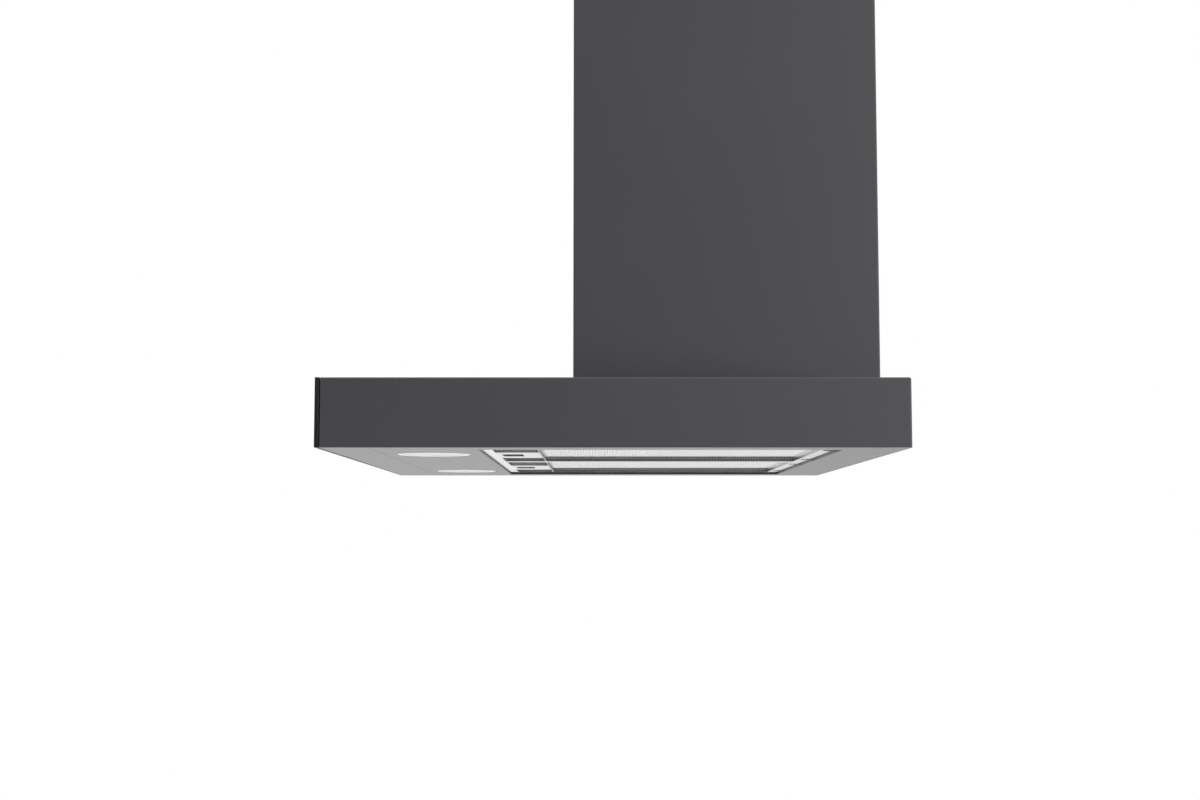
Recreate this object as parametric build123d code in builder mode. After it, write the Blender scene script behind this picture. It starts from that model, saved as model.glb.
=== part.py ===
from build123d import *
from math import acos, cos, degrees, radians, sin
import os

# Chimney range hood: a flat box canopy with a black glass front, two grease filters and two
# lamps in its underside, and a centrifugal blower inside a telescopic chimney.
#
# Millimetres, +Z up. The origin is on the wall, on the hood's centre line, at the level of the
# underside. The wall is the plane Y = 0 and the front faces -Y.

os.makedirs("parts", exist_ok=True)

# ---- Driving dimensions -------------------------------------------------------------------

# Canopy
hood_width = 600.0
hood_depth = 500.0
canopy_height = 59.0
sheet_t = 1.0  # folded steel sheet of the canopy and the chimney
bend_r = 0.8  # inside radius of a fold
seam = 0.3  # gap between sheets that meet edge to edge
glass_t = 4.0
glass_bevel = 0.4
tape_t = 0.8  # foam tape between the glass and its carrier
tape_w = 12.0
tape_inset = 5.0
carrier_depth = 45.0  # from the glass front to the seam in the underside
flange_h = 12.0  # turned-up edges of the underside sheets
rail_w = 19.0
rail_h = 20.0
rail_t = 1.5
rail_inset = 6.0  # from both ends of the canopy's inside
rail_screw_front = 60.0  # from the glass front
rail_screw_rear = 26.0  # from the wall

# Touch control behind the glass
touch_w = 168.0
touch_h = 24.0
touch_z = 29.0
board_t = 1.6
board_edge = 4.0  # of the board around the light guide
connector_w = 60.0
connector_h = 12.0
connector_d = 3.0
touch_case_d = 9.0
case_wall = 1.5
case_post_w = 6.0
case_post_h = 10.0

# Filter opening in the underside
opening_width = 525.2
opening_front = 134.5  # from the glass front
opening_rear = 52.5  # from the wall
lip_h = 3.0

# Lamps
lamp_side = 120.0  # from the side of the hood
lamp_from_front = 88.5
lamp_r = 34.0
lamp_gap = 0.3
lamp_lens_r = 28.0
lamp_bezel_t = 1.8
lamp_step = 0.6  # the lens lies this far above the bezel's face
lamp_wall = 1.5
lamp_skirt = 6.0
lamp_body_r = 26.0
lamp_body_h = 28.0
lamp_core_r = 14.3
lamp_fin_count = 18
lamp_fin_t = 1.4
lamp_base_t = 4.0
lamp_cap_t = 2.0
clip_t = 0.8  # spring clips that hold the lamps
clip_w = 8.0
clip_h = 16.0
clip_foot = 7.0

# Grease filters
filter_gap = 0.5  # around each filter
filter_h = 9.8
filter_recess = 2.2  # above the underside
front_bar = 9.0
side_bar = 9.0
rear_bar = 12.0
hem_t = 2.6  # lower flange of the filter frame
cap_t = 1.0  # upper flange of the filter frame
mesh_grip = 3.0  # how far the mesh reaches into the frame
handle_zone = 41.0
tray_t = 1.0
mesh_rows = 16
mesh_columns = 15
mesh_strand = 4.0
tilt_axis_y = 57.5  # from the wall
tilt_axis_z = 7.5
pivot_r = 2.0
pivot_length = 24.0
pivot_x = 80.0  # from the middle of a filter
pivot_notch = 16.0
hook_w = 10.0
hook_wall = 1.55
hook_plate_t = 1.5
hook_plate_length = 13.5
running_gap = 0.05

# Filter latches
latch_w = 98.0
latch_drop = 0.2  # the latch plate stands this far below the filter frame
latch_wall = 1.5
finger_w = 36.0
finger_d = 19.5
finger_front = 3.7  # from the front of the latch plate
slide_t = 1.5
slide_gap = 0.3
slide_w = 60.0
tongue_w = 18.0
pull_t = 2.0
latch_travel = 5.0
spring_r = 2.2
spring_wire = 0.6

# Chimney
chimney_width = 300.0
chimney_depth = 286.0
lower_height = 500.0
upper_height = 565.0
upper_show = 76.0  # how much of the upper cover stands out of the lower one at rest
telescope_gap = 0.5
return_w = 15.0  # folded edges that lie against the wall
foot_w = 12.0  # folded edges that stand on the canopy
foot_end = 30.0  # the feet stop this far from the wall
foot_screw_y = (-240.0, -60.0)
louvre_count = 6
louvre_length = 60.0
louvre_h = 4.0
louvre_pitch = 9.0
louvre_drop = 38.0  # of the middle of the louvres below the top

# Wall fixings
plate_w = 240.0
plate_t = 2.0
plate_top = 300.0
wall_hole_r = 4.0
wall_hole_x = 200.0
wall_hole_low = 100.0
wall_hole_high = 280.0
bracket_h = 34.0
bracket_t = 1.5
bracket_drop = 5.0  # of the bracket below the top
bracket_ear = 32.0
bracket_joggle = 6.0  # between the cover's folded edge and the bracket's step
bracket_hole_r = 3.25
bracket_hole_x = 200.0

# Blower
box_side_gap = 3.0  # between the box's flanges and the feet of the chimney
box_front = 258.0  # from the wall
box_rear = 22.0  # from the wall
box_top = 320.0
box_t = 1.0
box_flange = 10.0
box_screw_y = (-220.0, -60.0)
fan_z = 190.0
scroll_r = 86.0
scroll_step = 16.0
throat_inner = 21.4  # from the fan axis to the near wall of the outlet throat
scroll_length = 124.0
inlet_ring = 6.0
casing_t = 1.5
casing_rear_gap = 5.0
inlet_r = 60.0
impeller_r = 70.0
impeller_inner_r = 56.0
impeller_length = 110.0
blade_count = 36
blade_t = 0.9
blade_bow = 3.2
blade_inset = 0.5  # of the blades' tips from the rings' rims
ring_t = 2.0  # the end rings and the middle disc
hub_r = 14.0
hub_length = 16.0
motor_r = 40.0
motor_length = 87.0
shaft_r = 4.0
shaft_length = 70.0
bearing_r = 12.0
bearing_length = 5.0
hub_gap = 1.0
spider_arm = 10.0
spider_t = 3.0
spider_r = 75.0
spider_angles = (30, 150, 270)
spider_band = 8.0
grommet_r = 6.0
grommet_h = 4.0

# Exhaust collar and back-draught flaps
duct_r = 75.0
duct_from_wall = 113.0
duct_length = 50.0
collar_t = 1.5
plenum_h = 18.0
plenum_corner_r = 4.0
flap_t = 1.0
flap_gap = 0.6
flap_height = 8.0  # of the flap pins above the plenum
flap_pin_r = 1.25
flap_pin_x = 2.6
knuckle_r = 2.3
knuckle_length = 130.0
stop_w = 2.0
stop_t = 1.5

# Electrical parts
terminal_w = 80.0
terminal_d = 56.0
terminal_h = 32.0
terminal_x = -70.0
terminal_t = 2.0
gland_r = 9.0
gland_bore_r = 4.0
gland_wall = 2.0
gland_h = 14.0
block_w = 32.0  # terminal block
block_d = 20.0
block_h = 14.0
block_pitch = 10.0
block_hole_r = 3.0
block_hole_h = 4.0
capacitor_r = 16.0
capacitor_length = 58.0
capacitor_x = 62.0
capacitor_clip_half = 8.0
capacitor_foot = 8.0
driver_w = 120.0
driver_d = 40.0
driver_h = 22.0
driver_corner_r = 4.0
cable_r = 3.0
cable_exit = 10.0  # from the rear end of the motor
cable_rise = 32.0  # above the motor before the cable leans forwards
cable_straight = 46.0  # of the cable below its end in the terminal box
cable_bend_r = 22.0

# Fasteners
screw_r = 2.0
screw_head_r = 4.0
screw_head_h = 2.2
screw_gap = 0.1
rail_screw_length = 8.0
sheet_screw_length = 6.0
bracket_screw_length = 8.0

# ---- Places that follow from them ---------------------------------------------------------

half_width = hood_width / 2
inner_half = half_width - sheet_t
top_under = canopy_height - sheet_t
glass_back = glass_t - hood_depth
sheet_front = glass_back + tape_t
seam_y = carrier_depth - hood_depth

opening_x = opening_width / 2
opening_y0 = opening_front - hood_depth
opening_y1 = -opening_rear

lamp_x = half_width - lamp_side
lamp_y = lamp_from_front - hood_depth
lamp_hole_r = lamp_r + lamp_gap
lamp_seat_z = lamp_bezel_t + lamp_gap

filter_y0 = opening_y0 + filter_gap
filter_y1 = opening_y1 - 2 * filter_gap
filter_z0 = filter_recess
filter_z1 = filter_z0 + filter_h
filter_in = filter_gap
filter_out = opening_x - filter_gap
filter_mid = (filter_in + filter_out) / 2
mesh_z0 = filter_z0 + hem_t
mesh_z1 = filter_z1 - cap_t
tray_y0 = filter_y0 + front_bar
tray_y1 = tray_y0 + handle_zone
mesh_y1 = filter_y1 - rear_bar
axis_y = -tilt_axis_y

latch_y0 = tray_y0 + seam
latch_y1 = tray_y1 - tray_t - seam
latch_z0 = filter_z0 - latch_drop
latch_z1 = filter_z1 - tray_t
finger_y0 = latch_y0 + finger_front
finger_y1 = finger_y0 + finger_d
slide_z1 = latch_z1 - slide_gap
slide_z0 = slide_z1 - slide_t
slide_y0 = latch_y0 + latch_wall + slide_gap
slide_y1 = finger_y1 + pull_t + latch_travel
spring_y1 = latch_y1 - latch_wall

chimney_half = chimney_width / 2
lower_top = canopy_height + lower_height
upper_top = lower_top + upper_show
upper_half = chimney_half - sheet_t - telescope_gap
upper_front = chimney_depth - sheet_t - telescope_gap
upper_back = sheet_t + seam

box_half = chimney_half - sheet_t - foot_w - box_side_gap - box_flange
box_y0 = -box_front
box_y1 = -box_rear
scroll_half = scroll_length / 2
throat_outer = scroll_step / 2 + scroll_r + 2 * scroll_step
fan_y = box_y1 - casing_rear_gap - casing_t - throat_outer
duct_y = -duct_from_wall
plenum_z1 = box_top + plenum_h
duct_z1 = plenum_z1 + duct_length
flap_z = plenum_z1 + flap_height
plenum_x = duct_r + 3.0
plenum_y0 = duct_y - plenum_x
plenum_y1 = fan_y + throat_outer + casing_t

terminal_y = (box_y0 + plenum_y0) / 2
terminal_split = box_top + terminal_h * 0.6
terminal_top = box_top + terminal_h
t_x0 = terminal_x - terminal_w / 2
t_x1 = terminal_x + terminal_w / 2
t_y0 = terminal_y - terminal_d / 2
t_y1 = terminal_y + terminal_d / 2
gland_x = t_x0 + gland_r + 6.0
cable_x = t_x0 + 4 * cable_r

motor_x1 = -hub_gap - bearing_length - 2.0
spider_x = motor_x1 - motor_length + 20.0

# ---- Shared shapes ------------------------------------------------------------------------


def save(piece, name):
    """Label a finished piece and write it to its own STEP file."""
    piece.part.label = name
    export_step(piece.part, f"parts/{name}.step")


def block(x0, x1, y0, y1, z0, z1, mode=Mode.ADD):
    """A rectangular block between two opposite corners, in the part being built."""
    with Locations(((x0 + x1) / 2, (y0 + y1) / 2, (z0 + z1) / 2)):
        Box(abs(x1 - x0), abs(y1 - y0), abs(z1 - z0), mode=mode)


def rod_x(y, z, radius, x0, x1, mode=Mode.ADD):
    """A round rod along X."""
    with Locations(((x0 + x1) / 2, y, z)):
        Cylinder(radius, abs(x1 - x0), rotation=(0, 90, 0), mode=mode)


def rod_y(x, z, radius, y0, y1, mode=Mode.ADD):
    """A round rod along Y."""
    with Locations((x, (y0 + y1) / 2, z)):
        Cylinder(radius, abs(y1 - y0), rotation=(90, 0, 0), mode=mode)


def rod_z(x, y, radius, z0, z1, mode=Mode.ADD):
    """A round rod along Z."""
    with Locations((x, y, (z0 + z1) / 2)):
        Cylinder(radius, abs(z1 - z0), mode=mode)


def pan_screw(x, y, z, length):
    """A pan-head screw that points down, with the underside of its head at z."""
    rod_z(x, y, screw_head_r, z, z + screw_head_h)
    rod_z(x, y, screw_r, z - length, z)


# ---- Canopy -------------------------------------------------------------------------------

rail_screw_y = (rail_screw_front - hood_depth, -rail_screw_rear)
rail_screws = [(sx * (inner_half - rail_w / 2), y) for sx in (-1, 1) for y in rail_screw_y]
foot_screws = [(sx * (chimney_half - sheet_t - foot_w / 2), y) for sx in (-1, 1) for y in foot_screw_y]
box_screws = [(sx * (box_half + box_flange / 2), y) for sx in (-1, 1) for y in box_screw_y]


def countersink(x, y, gap, shank_end):
    """The cone and shank of a countersunk screw that points up from the underside."""
    with Locations((x, y, screw_r / 2)):
        Cone(screw_head_r + gap, screw_r + gap, screw_r, mode=Mode.ADD if gap == 0 else Mode.SUBTRACT)
    mode = Mode.ADD if gap == 0 else Mode.SUBTRACT
    rod_z(x, y, screw_r + gap, screw_r, shank_end, mode)


with BuildPart() as canopy_shell:
    block(-half_width, half_width, sheet_front, 0, 0, canopy_height)
    folds = canopy_shell.edges().filter_by(Axis.Y).group_by(Axis.Z)[-1]
    folds += canopy_shell.faces().sort_by(Axis.Y)[-1].edges().filter_by(Axis.Z)
    folds += canopy_shell.faces().sort_by(Axis.Y)[-1].edges().filter_by(Axis.X).sort_by(Axis.Z)[-1:]
    fillet(folds, bend_r + sheet_t)
    open_sides = canopy_shell.faces().sort_by(Axis.Z)[:1] + canopy_shell.faces().sort_by(Axis.Y)[:1]
    offset(amount=-sheet_t, openings=open_sides)
    air_margin = 2 * box_t
    block(
        air_margin - box_half, box_half - air_margin,
        box_y0 + air_margin, box_y1 - air_margin,
        top_under, canopy_height, Mode.SUBTRACT,
    )
    for x, y in foot_screws + box_screws:
        rod_z(x, y, screw_r + screw_gap, top_under, canopy_height, Mode.SUBTRACT)
save(canopy_shell, "canopy_shell")

rail_y0 = sheet_front + rail_inset
with BuildPart() as side_rails:
    for side in (-1, 1):
        wall_x = side * inner_half
        block(side * (inner_half - rail_w), wall_x, rail_y0, -rail_inset, sheet_t, sheet_t + rail_t)
        block(side * (inner_half - rail_t), wall_x, rail_y0, -rail_inset, sheet_t, rail_h)
    for x, y in rail_screws:
        countersink(x, y, screw_gap, sheet_t + rail_t)
save(side_rails, "side_rails")

with BuildPart() as glass_fascia:
    block(-half_width, half_width, -hood_depth, glass_back, 0, canopy_height)
    chamfer(glass_fascia.edges(), glass_bevel)
save(glass_fascia, "glass_fascia")

with BuildPart() as glass_tape:
    tape_x = inner_half - tape_inset
    for z in (tape_inset, top_under - tape_inset - tape_w):
        block(-tape_x, tape_x, glass_back, sheet_front, z, z + tape_w)
save(glass_tape, "glass_tape")

carrier_x = inner_half - seam
with BuildPart() as front_carrier:
    block(-carrier_x, carrier_x, sheet_front, seam_y - seam / 2, 0, sheet_t)
    block(-carrier_x, carrier_x, sheet_front, sheet_front + sheet_t, 0, top_under - seam)
    carrier_flange_x = inner_half - rail_w - seam
    block(
        -carrier_flange_x, carrier_flange_x,
        seam_y - seam / 2 - sheet_t, seam_y - seam / 2, 0, flange_h,
    )
    block(
        -touch_w / 2 - seam, touch_w / 2 + seam, sheet_front, sheet_front + sheet_t,
        touch_z - touch_h / 2 - seam, touch_z + touch_h / 2 + seam, Mode.SUBTRACT,
    )
save(front_carrier, "front_carrier")

panel_y0 = seam_y + seam / 2
panel_y1 = -sheet_t - seam
lamp_places = [(-lamp_x, lamp_y), (lamp_x, lamp_y)]
with BuildPart() as underside_panel:
    block(-carrier_x, carrier_x, panel_y0, panel_y1, 0, sheet_t)
    block(-carrier_flange_x, carrier_flange_x, panel_y0, panel_y0 + sheet_t, 0, flange_h)
    block(-carrier_flange_x, carrier_flange_x, panel_y1 - sheet_t, panel_y1, 0, flange_h)
    block(
        -opening_x - sheet_t, opening_x + sheet_t, opening_y0 - sheet_t, opening_y1 + sheet_t, 0, lip_h,
    )
    block(-opening_x, opening_x, opening_y0, opening_y1, 0, lip_h, Mode.SUBTRACT)
    for x, y in lamp_places:
        rod_z(x, y, lamp_hole_r + sheet_t, 0, lamp_seat_z + sheet_t)
        rod_z(x, y, lamp_hole_r, 0, lamp_seat_z, Mode.SUBTRACT)
        rod_z(x, y, lamp_body_r + lamp_gap, lamp_seat_z, lamp_seat_z + sheet_t, Mode.SUBTRACT)
    for x, y in rail_screws:
        countersink(x, y, screw_gap, sheet_t + rail_t)
save(underside_panel, "underside_panel")

with BuildPart() as panel_screws:
    for x, y in rail_screws:
        countersink(x, y, 0, rail_screw_length)
save(panel_screws, "panel_screws")

# Touch control behind the glass: a light guide in the carrier's window, its board and a case
board_y0 = sheet_front + sheet_t + seam
with BuildPart() as touch_guide:
    block(
        -touch_w / 2, touch_w / 2, glass_back, board_y0,
        touch_z - touch_h / 2, touch_z + touch_h / 2,
    )
save(touch_guide, "touch_guide")

board_y1 = board_y0 + board_t
with BuildPart() as touch_board:
    block(
        -touch_w / 2 - board_edge, touch_w / 2 + board_edge, board_y0, board_y1,
        touch_z - touch_h / 2 - board_edge, touch_z + touch_h / 2 + board_edge,
    )
    block(
        -connector_w / 2, connector_w / 2, board_y1, board_y1 + connector_d,
        touch_z - connector_h / 2, touch_z + connector_h / 2,
    )
save(touch_board, "touch_board")

with BuildPart() as touch_case:
    case_x = touch_w / 2 + board_edge + seam
    case_z = touch_h / 2 + board_edge + seam
    block(
        -case_x - case_wall, case_x + case_wall, sheet_front + sheet_t, board_y0 + touch_case_d,
        touch_z - case_z - case_wall, touch_z + case_z + case_wall,
    )
    block(
        -case_x, case_x, sheet_front + sheet_t, board_y0 + touch_case_d - case_wall,
        touch_z - case_z, touch_z + case_z, Mode.SUBTRACT,
    )
    for x in (case_post_w - case_x, case_x - case_post_w):
        block(
            x - case_post_w / 2, x + case_post_w / 2, board_y1, board_y0 + touch_case_d,
            touch_z - case_post_h / 2, touch_z + case_post_h / 2,
        )
save(touch_case, "touch_case")

# ---- Lamps --------------------------------------------------------------------------------


def lamp(x, side_name):
    """One recessed lamp: its bezel, its lens, its finned body and its two spring clips."""
    body_z0 = lamp_seat_z + lamp_skirt
    with BuildPart() as lamp_bezel:
        rod_z(x, lamp_y, lamp_r, 0, lamp_bezel_t)
        chamfer(lamp_bezel.edges().group_by(Axis.Z)[0], lamp_step)
        rod_z(x, lamp_y, lamp_lens_r + lamp_wall, lamp_bezel_t, lamp_seat_z)
        rod_z(x, lamp_y, lamp_body_r, lamp_seat_z, body_z0)
        rod_z(x, lamp_y, lamp_lens_r, 0, lamp_bezel_t, Mode.SUBTRACT)
        rod_z(x, lamp_y, lamp_body_r - lamp_wall, lamp_bezel_t, body_z0, Mode.SUBTRACT)
    save(lamp_bezel, f"lamp_bezel_{side_name}")

    with BuildPart() as lamp_lens:
        rod_z(x, lamp_y, lamp_lens_r - screw_gap, lamp_step, lamp_bezel_t)
    save(lamp_lens, f"lamp_lens_{side_name}")

    with BuildPart() as lamp_body:
        rod_z(x, lamp_y, lamp_body_r, body_z0, body_z0 + lamp_base_t)
        rod_z(x, lamp_y, lamp_core_r, body_z0, body_z0 + lamp_body_h)
        with BuildSketch(Plane.XY.offset(body_z0)):
            with Locations((x, lamp_y)):
                with PolarLocations(0, lamp_fin_count):
                    with Locations((lamp_body_r * 0.75, 0)):
                        Rectangle(lamp_body_r * 0.5, lamp_fin_t)
        extrude(amount=lamp_body_h)
        rod_z(x, lamp_y, lamp_body_r, body_z0 + lamp_body_h - lamp_cap_t, body_z0 + lamp_body_h)
    save(lamp_body, f"lamp_body_{side_name}")


for side, side_name in ((-1, "left"), (1, "right")):
    lamp(side * lamp_x, side_name)

clip_z = lamp_seat_z + sheet_t
with BuildPart() as lamp_clips:
    for x, y in lamp_places:
        for side in (-1, 1):
            x0 = x + side * lamp_body_r
            block(x0, x0 + side * clip_t, y - clip_w / 2, y + clip_w / 2, clip_z, clip_z + clip_h)
            block(x0, x0 + side * clip_foot, y - clip_w / 2, y + clip_w / 2, clip_z, clip_z + clip_t)
save(lamp_clips, "lamp_clips")

# ---- Grease filters -----------------------------------------------------------------------


def grease_filter(side, side_name):
    """One filter with its frame, mesh, handle tray, latch and pivot pins, on one side of the middle."""
    x_in = side * filter_in
    x_out = side * filter_out
    middle = side * filter_mid
    pivots = [middle - pivot_x, middle + pivot_x]

    with BuildPart() as filter_frame:
        block(x_in, x_out, filter_y0, filter_y1, filter_z0, filter_z1)
        block(
            x_in + side * side_bar, x_out - side * side_bar, tray_y0, mesh_y1,
            filter_z0, filter_z1, Mode.SUBTRACT,
        )
        grip = side_bar - mesh_grip
        block(
            x_in + side * grip, x_out - side * grip, tray_y1, mesh_y1 + mesh_grip,
            mesh_z0, mesh_z1, Mode.SUBTRACT,
        )
        rear_edges = filter_frame.edges().filter_by(Axis.X).group_by(Axis.Y)[-1].sort_by(Axis.Z)[:1]
        chamfer(rear_edges, hem_t / 2)
        for x in pivots:
            rod_x(axis_y, tilt_axis_z, pivot_r, x - pivot_length / 2, x + pivot_length / 2, Mode.SUBTRACT)
            block(
                x - pivot_notch / 2, x + pivot_notch / 2, mesh_y1 + mesh_grip, filter_y1,
                filter_z0, filter_z1, Mode.SUBTRACT,
            )
        block(
            middle - tongue_w / 2 - slide_gap, middle + tongue_w / 2 + slide_gap, filter_y0, tray_y0,
            slide_z0 - slide_gap, slide_z1 + slide_gap, Mode.SUBTRACT,
        )
    save(filter_frame, f"filter_frame_{side_name}")

    # Expanded mesh: a slab with staggered diamond openings
    mesh_x0 = x_in + side * grip
    mesh_x1 = x_out - side * grip
    mesh_span_x = abs(mesh_x1 - mesh_x0) - 2 * mesh_grip
    mesh_span_y = mesh_y1 - tray_y1
    cell_x = mesh_span_x / mesh_columns
    cell_y = mesh_span_y / mesh_rows
    with BuildPart() as filter_mesh:
        block(mesh_x0, mesh_x1, tray_y1, mesh_y1 + mesh_grip, mesh_z0, mesh_z1)
        with BuildSketch(Plane.XY.offset(mesh_z0)):
            with Locations((middle, (tray_y1 + mesh_y1) / 2)):
                with GridLocations(cell_x, cell_y, mesh_columns, mesh_rows):
                    Rectangle((cell_x - mesh_strand) / 2**0.5, (cell_x - mesh_strand) / 2**0.5, rotation=45)
        extrude(amount=mesh_z1 - mesh_z0, mode=Mode.SUBTRACT)
    save(filter_mesh, f"filter_mesh_{side_name}")

    with BuildPart() as filter_tray:
        tray_x0 = x_in + side * side_bar
        tray_x1 = x_out - side * side_bar
        block(tray_x0, tray_x1, tray_y0, tray_y1, latch_z1, filter_z1)
        block(tray_x0, tray_x1, tray_y1 - tray_t, tray_y1, filter_z0, filter_z1)
    save(filter_tray, f"filter_tray_{side_name}")

    with BuildPart() as latch_plate:
        block(middle - latch_w / 2, middle + latch_w / 2, latch_y0, latch_y1, latch_z0, latch_z1)
        fillet(latch_plate.edges().filter_by(Axis.Z), 1.0)
        block(
            middle - latch_w / 2 + latch_wall, middle + latch_w / 2 - latch_wall,
            latch_y0 + latch_wall, latch_y1 - latch_wall, latch_z0 + latch_wall, latch_z1, Mode.SUBTRACT,
        )
        block(
            middle - finger_w / 2, middle + finger_w / 2, finger_y0, finger_y1,
            latch_z0, latch_z0 + latch_wall, Mode.SUBTRACT,
        )
        block(
            middle - tongue_w / 2 - slide_gap, middle + tongue_w / 2 + slide_gap,
            latch_y0, latch_y0 + latch_wall, slide_z0 - slide_gap, slide_z1 + slide_gap, Mode.SUBTRACT,
        )
    save(latch_plate, f"latch_plate_{side_name}")

    with BuildPart() as latch_slide:
        shoulder_y = slide_y0 + latch_travel
        block(middle - slide_w / 2, middle + slide_w / 2, shoulder_y, slide_y1, slide_z0, slide_z1)
        tongue_y0 = opening_y0 + slide_gap
        block(middle - tongue_w / 2, middle + tongue_w / 2, tongue_y0, slide_y1, slide_z0, slide_z1)
        block(
            middle - finger_w / 2, middle + finger_w / 2, finger_y1, finger_y1 + pull_t,
            latch_z0 + latch_wall + slide_gap, slide_z1,
        )
    save(latch_slide, f"latch_slide_{side_name}")

    with BuildPart() as latch_spring:
        spring_z = slide_z1 - spring_r
        rod_y(middle, spring_z, spring_r, slide_y1, spring_y1)
        rod_y(middle, spring_z, spring_r - spring_wire, slide_y1, spring_y1, Mode.SUBTRACT)
    save(latch_spring, f"latch_spring_{side_name}")

    with BuildPart() as filter_pivots:
        for x in pivots:
            rod_x(axis_y, tilt_axis_z, pivot_r, x - pivot_length / 2, x + pivot_length / 2)
    save(filter_pivots, f"filter_pivots_{side_name}")


for side, side_name in ((-1, "left"), (1, "right")):
    grease_filter(side, side_name)

# Open hooks on the underside panel, in which the filters' pivot pins lie
hook_r = pivot_r + running_gap + hook_wall
hook_foot = opening_y1 + sheet_t + 1.0
hook_neck_z = tilt_axis_z - 1.0
plate_mid = hook_foot + (hook_plate_length - hook_plate_t) / 2
with BuildPart() as pivot_hooks:
    for side in (-1, 1):
        for offset_x in (-pivot_x, pivot_x):
            x = side * filter_mid + offset_x
            with BuildSketch(Plane.YZ.offset(x - hook_w / 2)):
                with Locations((axis_y, tilt_axis_z)):
                    Circle(hook_r)
                with Locations(((axis_y + hook_foot) / 2, tilt_axis_z - hook_r / 2 - 0.5)):
                    Rectangle(hook_foot - axis_y + hook_plate_t, hook_r - 1.0)
                with Locations((hook_foot, (sheet_t + hook_neck_z) / 2)):
                    Rectangle(hook_plate_t, hook_neck_z - sheet_t)
                with Locations((plate_mid, sheet_t + hook_plate_t / 2)):
                    Rectangle(hook_plate_length, hook_plate_t)
                with Locations((axis_y, tilt_axis_z)):
                    Circle(pivot_r + running_gap, mode=Mode.SUBTRACT)
                with Locations((axis_y, tilt_axis_z + hook_r)):
                    Rectangle(2 * (pivot_r + running_gap), 2 * hook_r, mode=Mode.SUBTRACT)
            extrude(amount=hook_w)
save(pivot_hooks, "pivot_hooks")

# ---- Chimney ------------------------------------------------------------------------------


def sleeve_profile(half, front, back):
    """The plan of a folded cover, open at the wall between two narrow edges that lie along it."""
    with BuildSketch() as profile:
        with Locations((0, -(front + back) / 2)):
            RectangleRounded(2 * half, front - back, bend_r + sheet_t)
            RectangleRounded(2 * (half - sheet_t), front - back - 2 * sheet_t, bend_r, mode=Mode.SUBTRACT)
        with Locations((0, -back)):
            Rectangle(2 * (half - return_w), 4 * sheet_t, mode=Mode.SUBTRACT)
    return profile.sketch


with BuildPart() as chimney_lower:
    with BuildSketch(Plane.XY.offset(canopy_height)):
        add(sleeve_profile(chimney_half, chimney_depth, 0))
    extrude(amount=lower_height)
    foot_x = chimney_half - sheet_t
    foot_y0 = sheet_t - chimney_depth
    foot_z1 = canopy_height + sheet_t
    block(-foot_x, foot_x, foot_y0, foot_y0 + foot_w, canopy_height, foot_z1)
    for side in (-1, 1):
        block(side * (foot_x - foot_w), side * foot_x, foot_y0, -foot_end, canopy_height, foot_z1)
    for x, y in foot_screws:
        rod_z(x, y, screw_r + screw_gap, canopy_height, foot_z1, Mode.SUBTRACT)
save(chimney_lower, "chimney_lower")

bracket_z = upper_top - bracket_h / 2 - bracket_drop
bracket_screw_y = -bracket_ear * 0.7
louvre_z = upper_top - louvre_drop
with BuildPart() as chimney_upper:
    with BuildSketch(Plane.XY.offset(upper_top - upper_height)):
        add(sleeve_profile(upper_half, upper_front, upper_back))
    extrude(amount=upper_height)
    with BuildSketch(Plane.YZ):
        with Locations((-chimney_depth / 2, louvre_z)):
            with GridLocations(0, louvre_pitch, 1, louvre_count):
                SlotOverall(louvre_length, louvre_h)
    extrude(amount=chimney_half, both=True, mode=Mode.SUBTRACT)
    rod_x(bracket_screw_y, bracket_z, screw_r + screw_gap, -chimney_half, chimney_half, Mode.SUBTRACT)
save(chimney_upper, "chimney_upper")

# The wall bracket passes in front of the folded edges and is screwed to the cover's sides
ear_x = upper_half - sheet_t - screw_gap
strip_y1 = -upper_back - sheet_t - bend_r
step_x = upper_half - return_w - bracket_joggle
with BuildPart() as chimney_bracket:
    z0 = bracket_z - bracket_h / 2
    z1 = bracket_z + bracket_h / 2
    block(-step_x, step_x, -bracket_t, 0, z0, z1)
    for side in (-1, 1):
        block(side * (step_x - bracket_t), side * step_x, strip_y1 - bracket_t, 0, z0, z1)
        block(side * (step_x - bracket_t), side * ear_x, strip_y1 - bracket_t, strip_y1, z0, z1)
        block(side * (ear_x - bracket_t), side * ear_x, -bracket_ear, strip_y1, z0, z1)
    rod_x(bracket_screw_y, bracket_z, screw_r + screw_gap, -chimney_half, chimney_half, Mode.SUBTRACT)
    for side in (-1, 1):
        rod_y(side * bracket_hole_x / 2, bracket_z, bracket_hole_r, -bracket_t, 0, Mode.SUBTRACT)
save(chimney_bracket, "chimney_bracket")

with BuildPart() as chimney_screws:
    for side in (-1, 1):
        tip_x = upper_half - bracket_screw_length
        rod_x(bracket_screw_y, bracket_z, screw_r, side * tip_x, side * upper_half)
        rod_x(bracket_screw_y, bracket_z, screw_head_r, side * upper_half, side * (upper_half + screw_head_h))
save(chimney_screws, "chimney_screws")

with BuildPart() as foot_fixings:
    for x, y in foot_screws:
        pan_screw(x, y, foot_z1, sheet_screw_length)
save(foot_fixings, "chimney_foot_screws")

# ---- Blower box and wall plate ------------------------------------------------------------

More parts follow.
